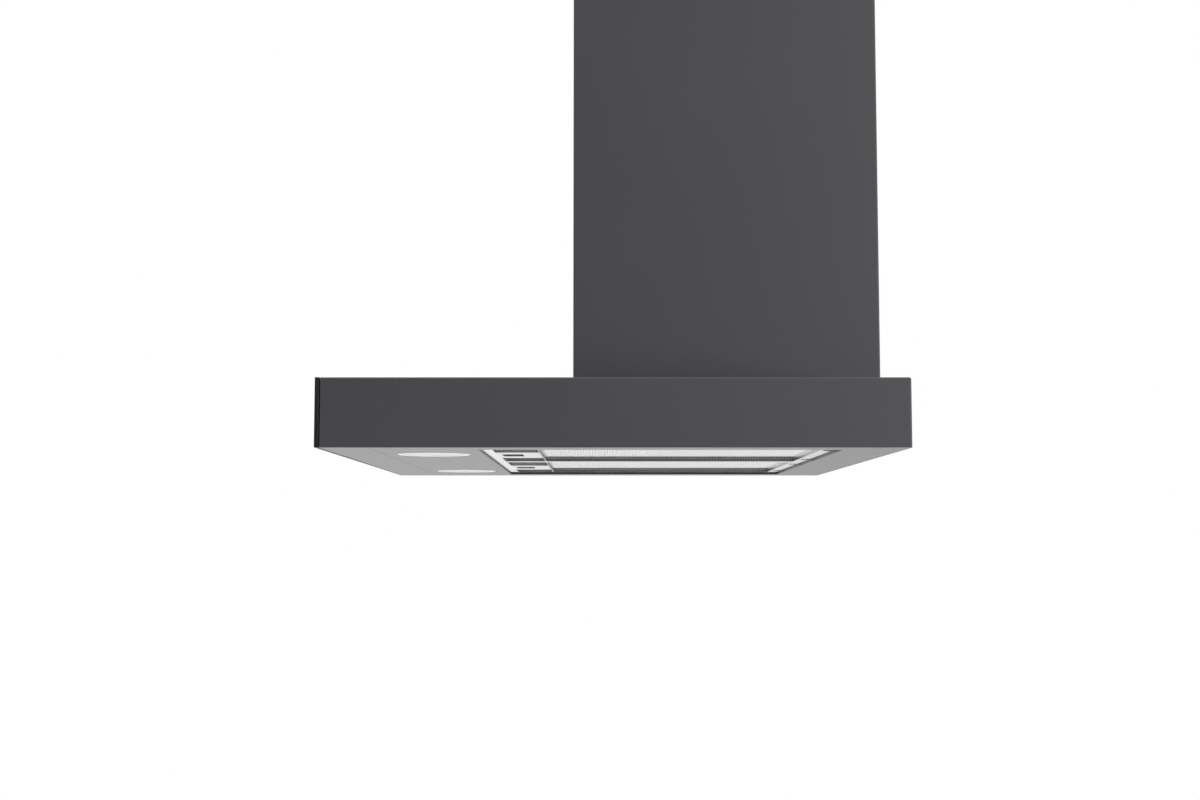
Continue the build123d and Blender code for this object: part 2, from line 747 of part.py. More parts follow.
scroll_top = box_top - box_t
with BuildPart() as blower_box:
    block(-box_half, box_half, box_y0, box_y1, canopy_height, box_top)
    block(
        box_t - box_half, box_half - box_t, box_y0 + box_t, box_y1 - box_t,
        canopy_height, scroll_top, Mode.SUBTRACT,
    )
    for side in (-1, 1):
        block(
            side * box_half, side * (box_half + box_flange), box_y0, box_y1,
            canopy_height, canopy_height + box_t,
        )
    block(
        -scroll_half, scroll_half, fan_y + throat_inner, fan_y + throat_outer,
        scroll_top, box_top, Mode.SUBTRACT,
    )
    for x, y in box_screws:
        rod_z(x, y, screw_r + screw_gap, canopy_height, canopy_height + box_t, Mode.SUBTRACT)
    rod_z(cable_x, terminal_y, cable_r + screw_gap, scroll_top, box_top, Mode.SUBTRACT)
save(blower_box, "blower_box")

with BuildPart() as blower_screws:
    for x, y in box_screws:
        pan_screw(x, y, canopy_height + box_t, sheet_screw_length)
save(blower_screws, "blower_screws")

with BuildPart() as wall_plate:
    plate_half = plate_w / 2
    block(-plate_half, plate_half, -plate_t, 0, canopy_height, plate_top)
    for side in (-1, 1):
        block(side * (plate_half - plate_t), side * plate_half, box_y1, 0, canopy_height, plate_top)
        for z in (wall_hole_low, wall_hole_high):
            rod_y(side * wall_hole_x / 2, z, wall_hole_r, -plate_t, 0, Mode.SUBTRACT)
save(wall_plate, "wall_plate")

# ---- Scroll casing, impeller and motor ----------------------------------------------------

scroll_c1 = (fan_y - scroll_step / 2, fan_z - scroll_step / 2)
scroll_c2 = (fan_y + scroll_step / 2, fan_z - scroll_step / 2)
scroll_c3 = (fan_y + scroll_step / 2, fan_z + scroll_step / 2)
spider_feet = [
    (fan_y + spider_r * cos(radians(angle)), fan_z + spider_r * sin(radians(angle)))
    for angle in spider_angles
]


def scroll_profile(wall, top):
    """The spiral of the casing and its throat, up to top, with everything grown outwards by wall."""
    r1 = scroll_r + wall
    r2 = r1 + scroll_step
    r3 = r2 + scroll_step
    near = fan_y + throat_inner - wall
    start = degrees(acos((near - scroll_c1[0]) / r1))
    with BuildSketch() as profile:
        with BuildLine():
            arc_1 = CenterArc(scroll_c1, r1, start, 180 - start)
            CenterArc(scroll_c2, r2, 180, 90)
            arc_3 = CenterArc(scroll_c3, r3, 270, 90)
            Polyline(arc_3 @ 1, (scroll_c3[0] + r3, top), (near, top), arc_1 @ 0)
        make_face()
    return profile.sketch


def casing_half(side, side_name):
    """One half of the scroll casing, with its round inlet."""
    with BuildPart() as casing:
        with BuildSketch(Plane.YZ):
            add(scroll_profile(casing_t, scroll_top))
        extrude(amount=side * (scroll_half + casing_t))
        with BuildSketch(Plane.YZ):
            add(scroll_profile(0, scroll_top + casing_t))
        extrude(amount=side * scroll_half, mode=Mode.SUBTRACT)
        rod_x(fan_y, fan_z, inlet_r, side * scroll_half, side * (scroll_half + casing_t), Mode.SUBTRACT)
        rod_x(fan_y, fan_z, inlet_r + casing_t, side * (scroll_half - inlet_ring), side * scroll_half)
        rod_x(
            fan_y, fan_z, inlet_r, side * (scroll_half - inlet_ring), side * (scroll_half + casing_t),
            Mode.SUBTRACT,
        )
        if side < 0:
            for y, z in spider_feet:
                rod_x(y, z, screw_r + screw_gap, -scroll_half - casing_t, -scroll_half, Mode.SUBTRACT)
    save(casing, f"scroll_casing_{side_name}")


for side, side_name in ((-1, "left"), (1, "right")):
    casing_half(side, side_name)

with BuildSketch() as blade:
    blade_mid = (impeller_r + impeller_inner_r) / 2
    blade_tip = impeller_r - blade_inset
    with BuildLine():
        tip_bow = blade_bow * 0.75
        concave = ThreePointArc((impeller_inner_r, 0), (blade_mid, blade_bow), (blade_tip, tip_bow))
        convex = ThreePointArc(
            (impeller_inner_r, blade_t), (blade_mid, blade_bow + blade_t), (blade_tip, tip_bow + blade_t)
        )
        Line(concave @ 0, convex @ 0)
        Line(concave @ 1, convex @ 1)
    make_face()

with BuildPart() as impeller:
    with BuildSketch(Plane.YZ.offset(-impeller_length / 2)):
        with Locations((fan_y, fan_z)):
            with PolarLocations(0, blade_count):
                add(blade.sketch)
    extrude(amount=impeller_length)
    for x0 in (-impeller_length / 2, 0, impeller_length / 2 - ring_t):
        rod_x(fan_y, fan_z, impeller_r, x0, x0 + ring_t)
    for x0 in (-impeller_length / 2, impeller_length / 2 - ring_t):
        rod_x(fan_y, fan_z, impeller_inner_r, x0, x0 + ring_t, Mode.SUBTRACT)
    rod_x(fan_y, fan_z, hub_r, -hub_gap, hub_length - hub_gap)
    rod_x(fan_y, fan_z, shaft_r, -hub_gap, hub_length - hub_gap, Mode.SUBTRACT)
save(impeller, "impeller")

with BuildPart() as motor_body:
    rod_x(fan_y, fan_z, motor_r, motor_x1 - motor_length, motor_x1)
    fillet(motor_body.edges(), 5.0)
    rod_x(fan_y, fan_z, bearing_r, motor_x1, -2 * hub_gap)
    rod_x(fan_y, fan_z, shaft_r + running_gap, hub_length - shaft_length - 2, -2 * hub_gap, Mode.SUBTRACT)
save(motor_body, "motor_body")

with BuildPart() as motor_shaft:
    rod_x(fan_y, fan_z, shaft_r, hub_length - shaft_length, hub_length)
save(motor_shaft, "motor_shaft")

foot_x0 = -scroll_half - casing_t
with BuildPart() as motor_spider:
    rod_x(fan_y, fan_z, motor_r + spider_t, spider_x, spider_x + spider_band)
    with BuildSketch(Plane.YZ.offset(spider_x)):
        with Locations((fan_y, fan_z)):
            with PolarLocations(0, len(spider_angles), start_angle=spider_angles[0]):
                with Locations(((motor_r + spider_r + grommet_r) / 2, 0)):
                    Rectangle(spider_r + grommet_r - motor_r, spider_arm)
    extrude(amount=spider_t)
    for y, z in spider_feet:
        rod_x(y, z, grommet_r, spider_x, foot_x0 - grommet_h)
        rod_x(y, z, screw_r + screw_gap, spider_x, foot_x0 - grommet_h, Mode.SUBTRACT)
    rod_x(fan_y, fan_z, motor_r, spider_x, spider_x + spider_band, Mode.SUBTRACT)
save(motor_spider, "motor_spider")

with BuildPart() as motor_grommets:
    for y, z in spider_feet:
        rod_x(y, z, grommet_r, foot_x0 - grommet_h, foot_x0)
        rod_x(y, z, screw_r + screw_gap, foot_x0 - grommet_h, foot_x0, Mode.SUBTRACT)
save(motor_grommets, "motor_grommets")

with BuildPart() as motor_screws:
    for y, z in spider_feet:
        rod_x(y, z, screw_head_r, spider_x - screw_head_h, spider_x)
        rod_x(y, z, screw_r, spider_x, -scroll_half)
save(motor_screws, "motor_screws")

# ---- Exhaust collar and flaps -------------------------------------------------------------

duct_inner = duct_r - collar_t
with BuildPart() as exhaust_collar:
    block(-plenum_x, plenum_x, plenum_y0, plenum_y1, box_top, plenum_z1)
    fillet(exhaust_collar.edges().filter_by(Axis.Z), plenum_corner_r)
    block(
        collar_t - plenum_x, plenum_x - collar_t, plenum_y0 + collar_t, plenum_y1 - collar_t,
        box_top, plenum_z1 - collar_t, Mode.SUBTRACT,
    )
    rod_z(0, duct_y, duct_r, plenum_z1, duct_z1)
    rod_z(0, duct_y, duct_inner, plenum_z1 - collar_t, duct_z1, Mode.SUBTRACT)
    stop_z1 = flap_z - flap_t / 2 - seam
    rod_z(0, duct_y, duct_r - collar_t / 2, stop_z1 - stop_t, stop_z1)
    rod_z(0, duct_y, duct_inner - stop_w, stop_z1 - stop_t, stop_z1, Mode.SUBTRACT)
    for side in (-1, 1):
        rod_y(side * flap_pin_x, flap_z, flap_pin_r, duct_y - duct_r, duct_y + duct_r, Mode.SUBTRACT)
save(exhaust_collar, "exhaust_collar")

flap_r = duct_inner - flap_gap
pin_half = (duct_inner**2 - flap_pin_x**2) ** 0.5 + collar_t / 2
with BuildPart() as flap_pins:
    for side in (-1, 1):
        rod_y(side * flap_pin_x, flap_z, flap_pin_r, duct_y - pin_half, duct_y + pin_half)
save(flap_pins, "flap_pins")

for side, side_name in ((-1, "left"), (1, "right")):
    with BuildPart() as flap:
        rod_z(0, duct_y, flap_r, flap_z - flap_t / 2, flap_z + flap_t / 2)
        half_cut = side * flap_pin_x
        block(
            half_cut, -side * 2 * duct_r, duct_y - duct_r, duct_y + duct_r,
            flap_z - flap_t, flap_z + flap_t, Mode.SUBTRACT,
        )
        rod_y(half_cut, flap_z, knuckle_r, duct_y - knuckle_length / 2, duct_y + knuckle_length / 2)
        rod_y(
            half_cut, flap_z, flap_pin_r + running_gap, duct_y - duct_r, duct_y + duct_r, Mode.SUBTRACT,
        )
    save(flap, f"flap_{side_name}")

# ---- Electrical parts ---------------------------------------------------------------------

with BuildPart() as terminal_box:
    block(t_x0, t_x1, t_y0, t_y1, box_top, terminal_split)
    fillet(terminal_box.edges().filter_by(Axis.Z), 3.0)
    block(
        t_x0 + terminal_t, t_x1 - terminal_t, t_y0 + terminal_t, t_y1 - terminal_t,
        box_top + terminal_t, terminal_split, Mode.SUBTRACT,
    )
    rod_z(cable_x, terminal_y, cable_r + screw_gap, box_top, box_top + terminal_t, Mode.SUBTRACT)
save(terminal_box, "terminal_box")

# The motor's cable rises from the motor's shell and passes through the top of the blower box
exit_x = motor_x1 - motor_length + cable_exit
cable_end = box_top + terminal_t + cable_r
with BuildPart() as motor_cable:
    with BuildLine() as cable_path:
        FilletPolyline(
            (exit_x, fan_y, fan_z + motor_r),
            (exit_x, fan_y, fan_z + motor_r + cable_rise),
            (cable_x, terminal_y, cable_end - cable_straight),
            (cable_x, terminal_y, cable_end),
            radius=cable_bend_r,
        )
    with BuildSketch(Plane(cable_path.line @ 0, z_dir=cable_path.line % 0)):
        Circle(cable_r)
    sweep()
save(motor_cable, "motor_cable")

with BuildPart() as terminal_lid:
    block(t_x0, t_x1, t_y0, t_y1, terminal_split, terminal_top)
    fillet(terminal_lid.edges().filter_by(Axis.Z), 3.0)
    block(
        t_x0 + terminal_t, t_x1 - terminal_t, t_y0 + terminal_t, t_y1 - terminal_t,
        terminal_split, terminal_top - terminal_t, Mode.SUBTRACT,
    )
    neck_r = gland_bore_r + gland_wall
    rod_z(gland_x, terminal_y, neck_r, terminal_top - terminal_t, terminal_top, Mode.SUBTRACT)
save(terminal_lid, "terminal_lid")

with BuildPart() as cable_gland:
    rod_z(gland_x, terminal_y, neck_r, terminal_top - terminal_t, terminal_top)
    with BuildSketch(Plane.XY.offset(terminal_top)):
        with Locations((gland_x, terminal_y)):
            RegularPolygon(gland_r, 6)
    extrude(amount=gland_h * 0.4)
    rod_z(gland_x, terminal_y, gland_r * 0.8, terminal_top + gland_h * 0.4, terminal_top + gland_h)
    fillet(cable_gland.edges().group_by(Axis.Z)[-1], 2.0)
    rod_z(gland_x, terminal_y, gland_bore_r, terminal_top - terminal_t, terminal_top + gland_h, Mode.SUBTRACT)
save(cable_gland, "cable_gland")

with BuildPart() as terminal_block:
    block_x0 = t_x1 - terminal_t - block_w
    block_z1 = box_top + terminal_t + block_h
    block(
        block_x0, block_x0 + block_w, terminal_y - block_d / 2, terminal_y + block_d / 2,
        box_top + terminal_t, block_z1,
    )
    for step in (-1, 0, 1):
        hole_x = block_x0 + block_w / 2 + step * block_pitch
        rod_z(hole_x, terminal_y, block_hole_r, block_z1 - block_hole_h, block_z1, Mode.SUBTRACT)
save(terminal_block, "terminal_block")

capacitor_z = box_top + bracket_t + capacitor_r
with BuildPart() as capacitor:
    end_x = capacitor_x + capacitor_length / 2
    rod_x(terminal_y, capacitor_z, capacitor_r, end_x - capacitor_length, end_x)
    fillet(capacitor.edges(), 1.5)
save(capacitor, "capacitor")

clip_x0 = capacitor_x - capacitor_clip_half
clip_x1 = capacitor_x + capacitor_clip_half
with BuildPart() as capacitor_clip:
    rod_x(terminal_y, capacitor_z, capacitor_r + bracket_t, clip_x0, clip_x1)
    foot_half = capacitor_r + capacitor_foot
    block(
        clip_x0, clip_x1, terminal_y - foot_half, terminal_y + foot_half,
        box_top, box_top + bracket_t,
    )
    rod_x(terminal_y, capacitor_z, capacitor_r, clip_x0, clip_x1, Mode.SUBTRACT)
save(capacitor_clip, "capacitor_clip")

driver_y = (opening_y0 + seam_y) / 2
with BuildPart() as lamp_driver:
    block(
        -driver_w / 2, driver_w / 2, driver_y - driver_d / 2, driver_y + driver_d / 2,
        sheet_t, sheet_t + driver_h,
    )
    fillet(lamp_driver.edges().filter_by(Axis.Z), driver_corner_r)
    chamfer(lamp_driver.edges().group_by(Axis.Z)[-1], 1.5)
save(lamp_driver, "lamp_driver")
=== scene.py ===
from math import cos, pi, radians, sin, tau

import bmesh
import bpy
import numpy as np
from mathutils import Matrix, Vector


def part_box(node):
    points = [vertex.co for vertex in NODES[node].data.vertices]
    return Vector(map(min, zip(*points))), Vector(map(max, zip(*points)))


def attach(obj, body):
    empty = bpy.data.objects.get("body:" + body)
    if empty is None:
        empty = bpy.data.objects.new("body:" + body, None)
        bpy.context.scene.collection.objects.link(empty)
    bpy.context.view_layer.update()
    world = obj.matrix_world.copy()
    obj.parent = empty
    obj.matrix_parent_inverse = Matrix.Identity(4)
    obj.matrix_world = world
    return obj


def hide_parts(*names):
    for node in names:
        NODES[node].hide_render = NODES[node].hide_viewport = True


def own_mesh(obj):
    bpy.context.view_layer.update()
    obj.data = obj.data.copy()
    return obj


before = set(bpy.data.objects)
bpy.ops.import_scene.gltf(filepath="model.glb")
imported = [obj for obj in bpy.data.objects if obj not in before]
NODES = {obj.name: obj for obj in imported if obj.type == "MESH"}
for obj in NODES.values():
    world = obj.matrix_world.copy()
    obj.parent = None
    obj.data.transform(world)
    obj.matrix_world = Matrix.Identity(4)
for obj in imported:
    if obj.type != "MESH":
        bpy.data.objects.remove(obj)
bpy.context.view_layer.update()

bl_info = {
    "name": "Chimney Range Hood",
    "version": (1, 0, 0),
    "blender": (4, 5, 0),
    "location": "3D View > Sidebar > Range Hood",
    "description": "Dresses a range hood with its finishes, filter mesh, springs, screws and marks",
    "category": "Object",
}

SIDES = ("left", "right")
FINISHES = {}


# ---- Colour and shader helpers ---------------------------------------------------------------


def linear(hex_colour):
    """Turn an sRGB hex colour into the linear values that a shader takes."""
    channels = [int(hex_colour[i:i + 2], 16) / 255 for i in (1, 3, 5)]
    return tuple(c / 12.92 if c <= 0.04045 else ((c + 0.055) / 1.055) ** 2.4 for c in channels)


def shade(colour, factor):
    """A colour times a factor or a factor for each channel, with an alpha of 1."""
    factors = factor if isinstance(factor, tuple) else (factor,) * 3
    return (*[min(1.0, c * f) for c, f in zip(colour, factors)], 1.0)


def add_node(material, kind, settings=None, links=None):
    """Add a shader node with its settings, and join its inputs to other nodes' outputs."""
    node = material.node_tree.nodes.new(kind)
    for name, value in (settings or {}).items():
        if isinstance(name, int) or name in node.inputs:
            node.inputs[name].default_value = value
        else:
            setattr(node, name, value)
    for name, output in (links or {}).items():
        material.node_tree.links.new(output, node.inputs[name])
    return node


def new_material(name, roughness, metallic=0.0, **sockets):
    """A material with its shader's constant values set, and with its surface coordinates."""
    material = bpy.data.materials.new(name)
    material.use_nodes = True
    shader = material.node_tree.nodes["Principled BSDF"]
    for socket, value in {"roughness": roughness, "metallic": metallic, **sockets}.items():
        title = socket.replace("_", " ").title().replace("Ior", "IOR")
        shader.inputs[title].default_value = value
    add_node(material, "ShaderNodeTexCoord", {"name": "place"})
    return material


def pattern(material, texture, size, output="Fac", **settings):
    """A pattern that repeats every so many millimetres, in all directions or along each axis."""
    place = material.node_tree.nodes["place"].outputs["Object"]
    per_metre = 1.0
    if isinstance(size, tuple):
        scales = {"Scale": [1000.0 / millimetres for millimetres in size]}
        place = add_node(material, "ShaderNodeMapping", scales, {"Vector": place}).outputs[0]
    else:
        per_metre = 1000.0 / size
    settings = {"Scale": per_metre, **settings}
    node = add_node(material, f"ShaderNodeTex{texture}", settings, {"Vector": place})
    return node.outputs[output]


def between(material, value, first, second, low=0.3, high=0.7):
    """A number or colour that goes from one to another while a value goes from low to high.

    Nearly all of a noise lies between 0.3 and 0.7.
    """
    is_colour = isinstance(first, tuple)
    start, end = (0.0, 1.0) if is_colour else (first, second)
    share = add_node(
        material, "ShaderNodeMapRange",
        {"From Min": low, "From Max": high, "To Min": start, "To Max": end}, {"Value": value},
    ).outputs["Result"]
    if not is_colour:
        return share
    ends = {"data_type": "RGBA", 6: first, 7: second}
    return add_node(material, "ShaderNodeMix", ends, {0: share}).outputs[2]


def painted_wall_shade(material, factor):
    """Painted shade: a factor that darkens the colour where the sheet stands upright, and 1 where
    it lies.
    """
    normal = material.node_tree.nodes["place"].outputs["Normal"]
    level = add_node(material, "ShaderNodeSeparateXYZ", {}, {"Vector": normal}).outputs["Z"]
    flat = add_node(material, "ShaderNodeMath", {"operation": "ABSOLUTE"}, {0: level}).outputs[0]
    return between(material, flat, factor, 1.0, 0.3, 0.8)


def surface(material, colour, tones, gloss=None, relief=None, dim=None, dim_share=1.0):
    """Let patterns vary a material's colour and roughness, and stand proud of it.

    Tones hold a pattern and the two factors that it leads the colour between, and gloss a pattern
    and two roughnesses; a range follows where the pattern isn't a noise. Relief holds a pattern
    and its height in millimetres. Dim darkens the colour, as far as its share: it carries a random
    cloud in the powder coat, and painted shade on upright faces elsewhere.
    """
    shader = material.node_tree.nodes["Principled BSDF"].inputs
    join = material.node_tree.links.new
    value, first, second, *span = tones
    tone = between(material, value, shade(colour, first), shade(colour, second), *span)
    if dim is not None:
        tone = add_node(
            material, "ShaderNodeMix",
            {"data_type": "RGBA", "blend_type": "MULTIPLY", 0: dim_share}, {6: tone, 7: dim},
        ).outputs[2]
    join(tone, shader["Base Color"])
    if gloss:
        join(between(material, *gloss), shader["Roughness"])
    if relief:
        height, millimetres = relief
        proud = {"Distance": millimetres / 1000}
        bump = add_node(material, "ShaderNodeBump", proud, {"Height": height})
        join(bump.outputs["Normal"], shader["Normal"])
    return material


# ---- Materials -------------------------------------------------------------------------------
# Lines, flakes and grains finer than about 0.2 mm don't show in a picture of the whole hood, so
# they are drawn at 0.2 to 0.5 mm.


def satin_powder_coat(name, colour):
    """Satin polyester powder coat, sprayed on folded steel sheet and baked."""
    # The cured coat has a fine orange peel, which breaks up highlights, and a satin sheen.
    coat = new_material(name, 0.46, ior=1.5, specular_ior_level=0.4)
    peel = pattern(coat, "Noise", 1.4, Detail=2.0)
    fleck = pattern(coat, "Noise", 0.5, Detail=1.0)
    cloud = pattern(coat, "Noise", 160, Detail=3.0)
    return surface(
        coat, colour, (fleck, 0.975, 1.025), (cloud, 0.43, 0.49), (peel, 0.012),
        dim=between(coat, cloud, 0.0, 1.0), dim_share=0.03,
    )


def printed_glass(name, colour):
    """Toughened float glass, printed with black enamel on its back."""
    # Polished glass over black ink gives sharp reflections with a faint roller wave.
    glass = new_material(name, 0.04, ior=1.52, coat_weight=0.6, coat_roughness=0.02)
    wave = pattern(glass, "Noise", 90, Detail=1.0)
    return surface(glass, colour, (wave, 0.9, 1.15), (wave, 0.03, 0.06), (wave, 0.05))


def ground_glass_edge(name, colour):
    """The edge of the pane, ground with a diamond wheel and left matt."""
    # Grinding leaves fine lines along the edge, so it is greyer and duller than the face.
    edge = new_material(name, 0.5, ior=1.52)
    lines = pattern(edge, "Noise", (40, 0.3, 40), Detail=3.0)
    return surface(edge, colour, (lines, 0.8, 1.2), relief=(lines, 0.02))


def rolled_coat(name, colour):
    """The same charcoal polyester, rolled on as a flat coil coat."""
    # A coil coat lies flatter than a sprayed one, so along the sheet it mirrors a pale floor.
    # Where the sheet stands upright its colour is darkened to a fifth: painted shade.
    coat = new_material(name, 0.4, ior=1.5, specular_ior_level=0.75)
    rolled = pattern(coat, "Noise", (30, 0.8, 0.8), Detail=3.0)
    fleck = pattern(coat, "Noise", 0.6, Detail=1.0)
    return surface(
        coat, colour, (rolled, 0.97, 1.03), (rolled, 0.35, 0.39), (fleck, 0.004),
        # Painted shade: upright faces of the coat are darkened
        dim=painted_wall_shade(coat, 0.2),
    )


def anodised_aluminium(name, colour, roughness, wall):
    """Aluminium, brushed along its length and anodised."""
    # Brushing leaves hair lines that stretch the highlights; the anodic layer softens them. The
    # upright faces of a frame or a trough are darkened by the wall factor: painted shade.
    metal = new_material(name, roughness, metallic=1.0)
    hair = pattern(metal, "Noise", (35, 0.25, 0.25), Detail=4.0, Roughness=0.6)
    return surface(
        metal, colour, (hair, 0.9, 1.06), (hair, roughness - 0.05, roughness + 0.07),
        # Painted shade: upright faces darkened by the wall factor
        (hair, 0.01), dim=painted_wall_shade(metal, wall),
    )


def expanded_aluminium(name, colour):
    """Aluminium foil, slit and stretched into mesh."""
    # Mill-finish strands catch the light one by one, and the slit edges are slightly duller.
    foil = new_material(name, 0.32, metallic=1.0)
    tear = pattern(foil, "Noise", 1.2, Detail=2.0)
    wide = pattern(foil, "Noise", 30, Detail=2.0)
    return surface(foil, colour, (tear, 0.88, 1.08), (wide, 0.28, 0.36), (tear, 0.01))


def moulded_plastic(name, colour, grain_mm=0.7, roughness=0.45, grain_depth=0.02):
    """Injection-moulded thermoplastic with an eroded mould texture."""
    # The spark-eroded mould gives an even, fine leather-like grain and soft, broad highlights.
    plastic = new_material(name, roughness, ior=1.53)
    cells = pattern(plastic, "Voronoi", grain_mm, "Distance")
    flow = pattern(plastic, "Noise", 25, Detail=2.0)
    gloss = (flow, roughness - 0.04, roughness + 0.05)
    return surface(plastic, colour, (flow, 0.95, 1.06), gloss, (cells, grain_depth))


def silver_lacquer(name, colour):
    """ABS mouldings, sprayed with silver lacquer."""
    # Flakes in the lacquer mirror the room softly, so one is bright and the next dark; this glint
    # is also painted into the colour, a random lighter or darker shade for each flake.
    lacquer = new_material(name, 0.3, metallic=0.92)
    flake = pattern(lacquer, "Voronoi", 0.35, "Color")
    drift = pattern(lacquer, "Noise", 18, Detail=2.0)
    painted_flake_glint = add_node(lacquer, "ShaderNodeSeparateColor", {}, {"Color": flake}).outputs["Red"]
    # Painted glint: each flake's colour is lighter or darker
    tones = (painted_flake_glint, 0.93, 1.04, 0.0, 1.0)
    return surface(lacquer, colour, tones, (drift, 0.25, 0.34), (drift, 0.008))


def plated_steel(name, colour, roughness=0.28):
    """Steel with bright zinc plating."""
    # Plating keeps the rolled grain below it, with slightly bluish and yellowish clouds.
    steel = new_material(name, roughness, metallic=1.0)
    cloud = pattern(steel, "Noise", 6, Detail=3.0)
    fine = pattern(steel, "Noise", 0.3, Detail=1.0)
    gloss = (fine, roughness - 0.05, roughness + 0.1)
    return surface(steel, colour, (cloud, 0.95, (1.04, 1.0, 0.92)), gloss, (fine, 0.006))


def galvanised_sheet(name, colour):
    """Hot-dip galvanised steel sheet."""
    # The zinc freezes in crystals, so each spangle has its own grey and its own gloss.
    sheet = new_material(name, 0.4, metallic=0.95)
    spangle = pattern(sheet, "Voronoi", 9, "Color")
    feather = pattern(sheet, "Noise", 2, Detail=4.0)
    facet = add_node(sheet, "ShaderNodeSeparateColor", {}, {"Color": spangle}).outputs["Red"]
    share = 0.3
    feathered = {"operation": "MULTIPLY_ADD", 1: share}
    grey = add_node(sheet, "ShaderNodeMath", feathered, {0: feather, 2: facet}).outputs[0]
    tones, gloss = (grey, 0.86, 1.1, 0.0, 1.0 + share), (grey, 0.3, 0.5, 0.0, 1.0 + share)
    return surface(sheet, colour, tones, gloss, (feather, 0.01))


def polished_chrome(name, colour):
    """Moulded ring with a polished chromium plating."""
    # A near mirror: only faint haze from handling tells it from a perfect one.
    chrome = new_material(name, 0.1, metallic=1.0)
    haze = pattern(chrome, "Noise", 8, Detail=3.0)
    return surface(chrome, colour, (haze, 0.97, 1.02), (haze, 0.08, 0.16))


def opal_acrylic(name, colour):
    """Opal acrylic lens, moulded with a fine prism pattern on its face."""
    # White pigment spreads the light inside the sheet; the small prisms give it a fine sparkle,
    # painted too: each prism's middle gets a painted highlight and its edge painted shade.
    acrylic = new_material(
        name, 0.22, ior=1.49, subsurface_weight=0.25, subsurface_scale=0.002,
        subsurface_radius=(1.0, 1.0, 1.0),
    )
    prisms = pattern(acrylic, "Voronoi", 1.6, "Distance", Randomness=0.1)
    # Painted highlight in each prism's middle, painted shade towards its edge
    return surface(acrylic, colour, (prisms, 1.03, 0.92, 0.0, 0.7), relief=(prisms, 0.08))


def die_cast_aluminium(name, colour):
    """Die-cast aluminium, shot-blasted."""
    # Blasting leaves a matt, sandy skin with darker flow clouds.
    casting = new_material(name, 0.52, metallic=1.0)
    sand = pattern(casting, "Noise", 0.6, Detail=2.0)
    flow = pattern(casting, "Noise", 12, Detail=2.0)
    return surface(casting, colour, (flow, 0.85, 1.08), relief=(sand, 0.05))


def clear_acrylic(name, colour):
    """Clear acrylic, moulded and polished."""
    # A light guide is clear with satin sides, so it looks milky from the side.
    acrylic = new_material(name, 0.12, ior=1.49, transmission_weight=0.7)
    swirl = pattern(acrylic, "Noise", 10, Detail=2.0)
    return surface(acrylic, colour, (swirl, 0.95, 1.05), (swirl, 0.08, 0.2))


def circuit_board(name, colour):
    """Glass-fibre board with copper tracks under green solder resist."""
    # The tracks show through the lacquer as lighter lines with soft edges.
    board = new_material(name, 0.3, ior=1.5)
    tracks = pattern(board, "Brick", 9, offset=0.3, **{"Mortar Size": 0.08})
    return surface(board, colour, (tracks, 0.8, 1.7, 0.0, 1.0), relief=(tracks, 0.03))


def soft_rubber(name, colour, grain_mm=0.5):
    """Moulded rubber, with a dry matt skin."""
    # Rubber is dull and dusty: the dark colour lifts a little in soft patches.
    rubber = new_material(name, 0.78, ior=1.52)
    dust = pattern(rubber, "Noise", 8, Detail=4.0)
    skin = pattern(rubber, "Noise", grain_mm, Detail=2.0)
    return surface(rubber, colour, (dust, 0.9, 1.5, 0.4, 0.75), relief=(skin, 0.04))


def drawn_steel(name, colour, axis):
    """Steel, drawn or ground along or round one axis."""
    # Drawing and grinding leave tight lines that stretch each highlight across them.
    steel = new_material(name, 0.24, metallic=1.0)
    spacing = tuple(25 if direction == axis else 0.2 for direction in range(3))
    lines = pattern(steel, "Noise", spacing, Detail=3.0)
    return surface(steel, colour, (lines, 0.88, 1.06), (lines, 0.18, 0.32))


def screen_ink(name, colour):
    """White enamel, screen-printed on the glass."""
    # The print is dense and slightly chalky, with the mesh of the screen in its surface.
    ink = new_material(name, 0.35, ior=1.5)
    return surface(ink, colour, (pattern(ink, "Noise", 0.4, Detail=1.0), 0.93, 1.03))


def finish(name, *nodes):
    """Give CAD nodes one finish in place of the plain one that they came with."""
    for node in nodes:
        mesh = NODES[node].data
        mesh.materials.clear()
        mesh.materials.append(FINISHES[name])


# ---- Shape helpers ---------------------------------------------------------------------------


def mm(*values):
    """Millimetres as a vector in metres."""
    return Vector([v / 1000 for v in values])


def box_mm(node):
    """A CAD node's lowest corner, highest corner and middle in millimetres."""
    low, high = [[v * 1000 for v in corner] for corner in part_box(node)]
    return low, high, [(a + b) / 2 for a, b in zip(low, high)]


def solids_of(node, axis):
    """The middle of each separate solid of a CAD node, but its top along one axis, in mm."""
    bm = bmesh.new()
    bm.from_mesh(NODES[node].data)
    bmesh.ops.remove_doubles(bm, verts=bm.verts, dist=1e-6)
    unseen = set(bm.verts)
    places = []
    for first in bm.verts:
        if first not in unseen:
            continue
        unseen.remove(first)
        reached = [first]
        for vert in reached:
            for edge in vert.link_edges:
                other = edge.other_vert(vert)
                if other in unseen:
                    unseen.remove(other)
                    reached.append(other)
        points = np.array([vert.co for vert in reached]) * 1000
        middle = (points.min(axis=0) + points.max(axis=0)) / 2
        middle[axis] = points[:, axis].max()
        places.append(middle.tolist())
    bm.free()
    if not places:
        raise RuntimeError(f"{node} has no solids")
    return places


def link_object(name, data):
    """Put a mesh, curve, light or camera into the scene."""
    linked = bpy.data.objects.new(name, data)
    bpy.context.scene.collection.objects.link(linked)
    return linked


def mesh_from(bm, name):
    """The mesh of a bmesh, with its faces turned outwards; the bmesh itself goes."""
    mesh = bpy.data.meshes.new(name)
    bmesh.ops.recalc_face_normals(bm, faces=bm.faces)
    bm.to_mesh(mesh)
    bm.free()
    return mesh


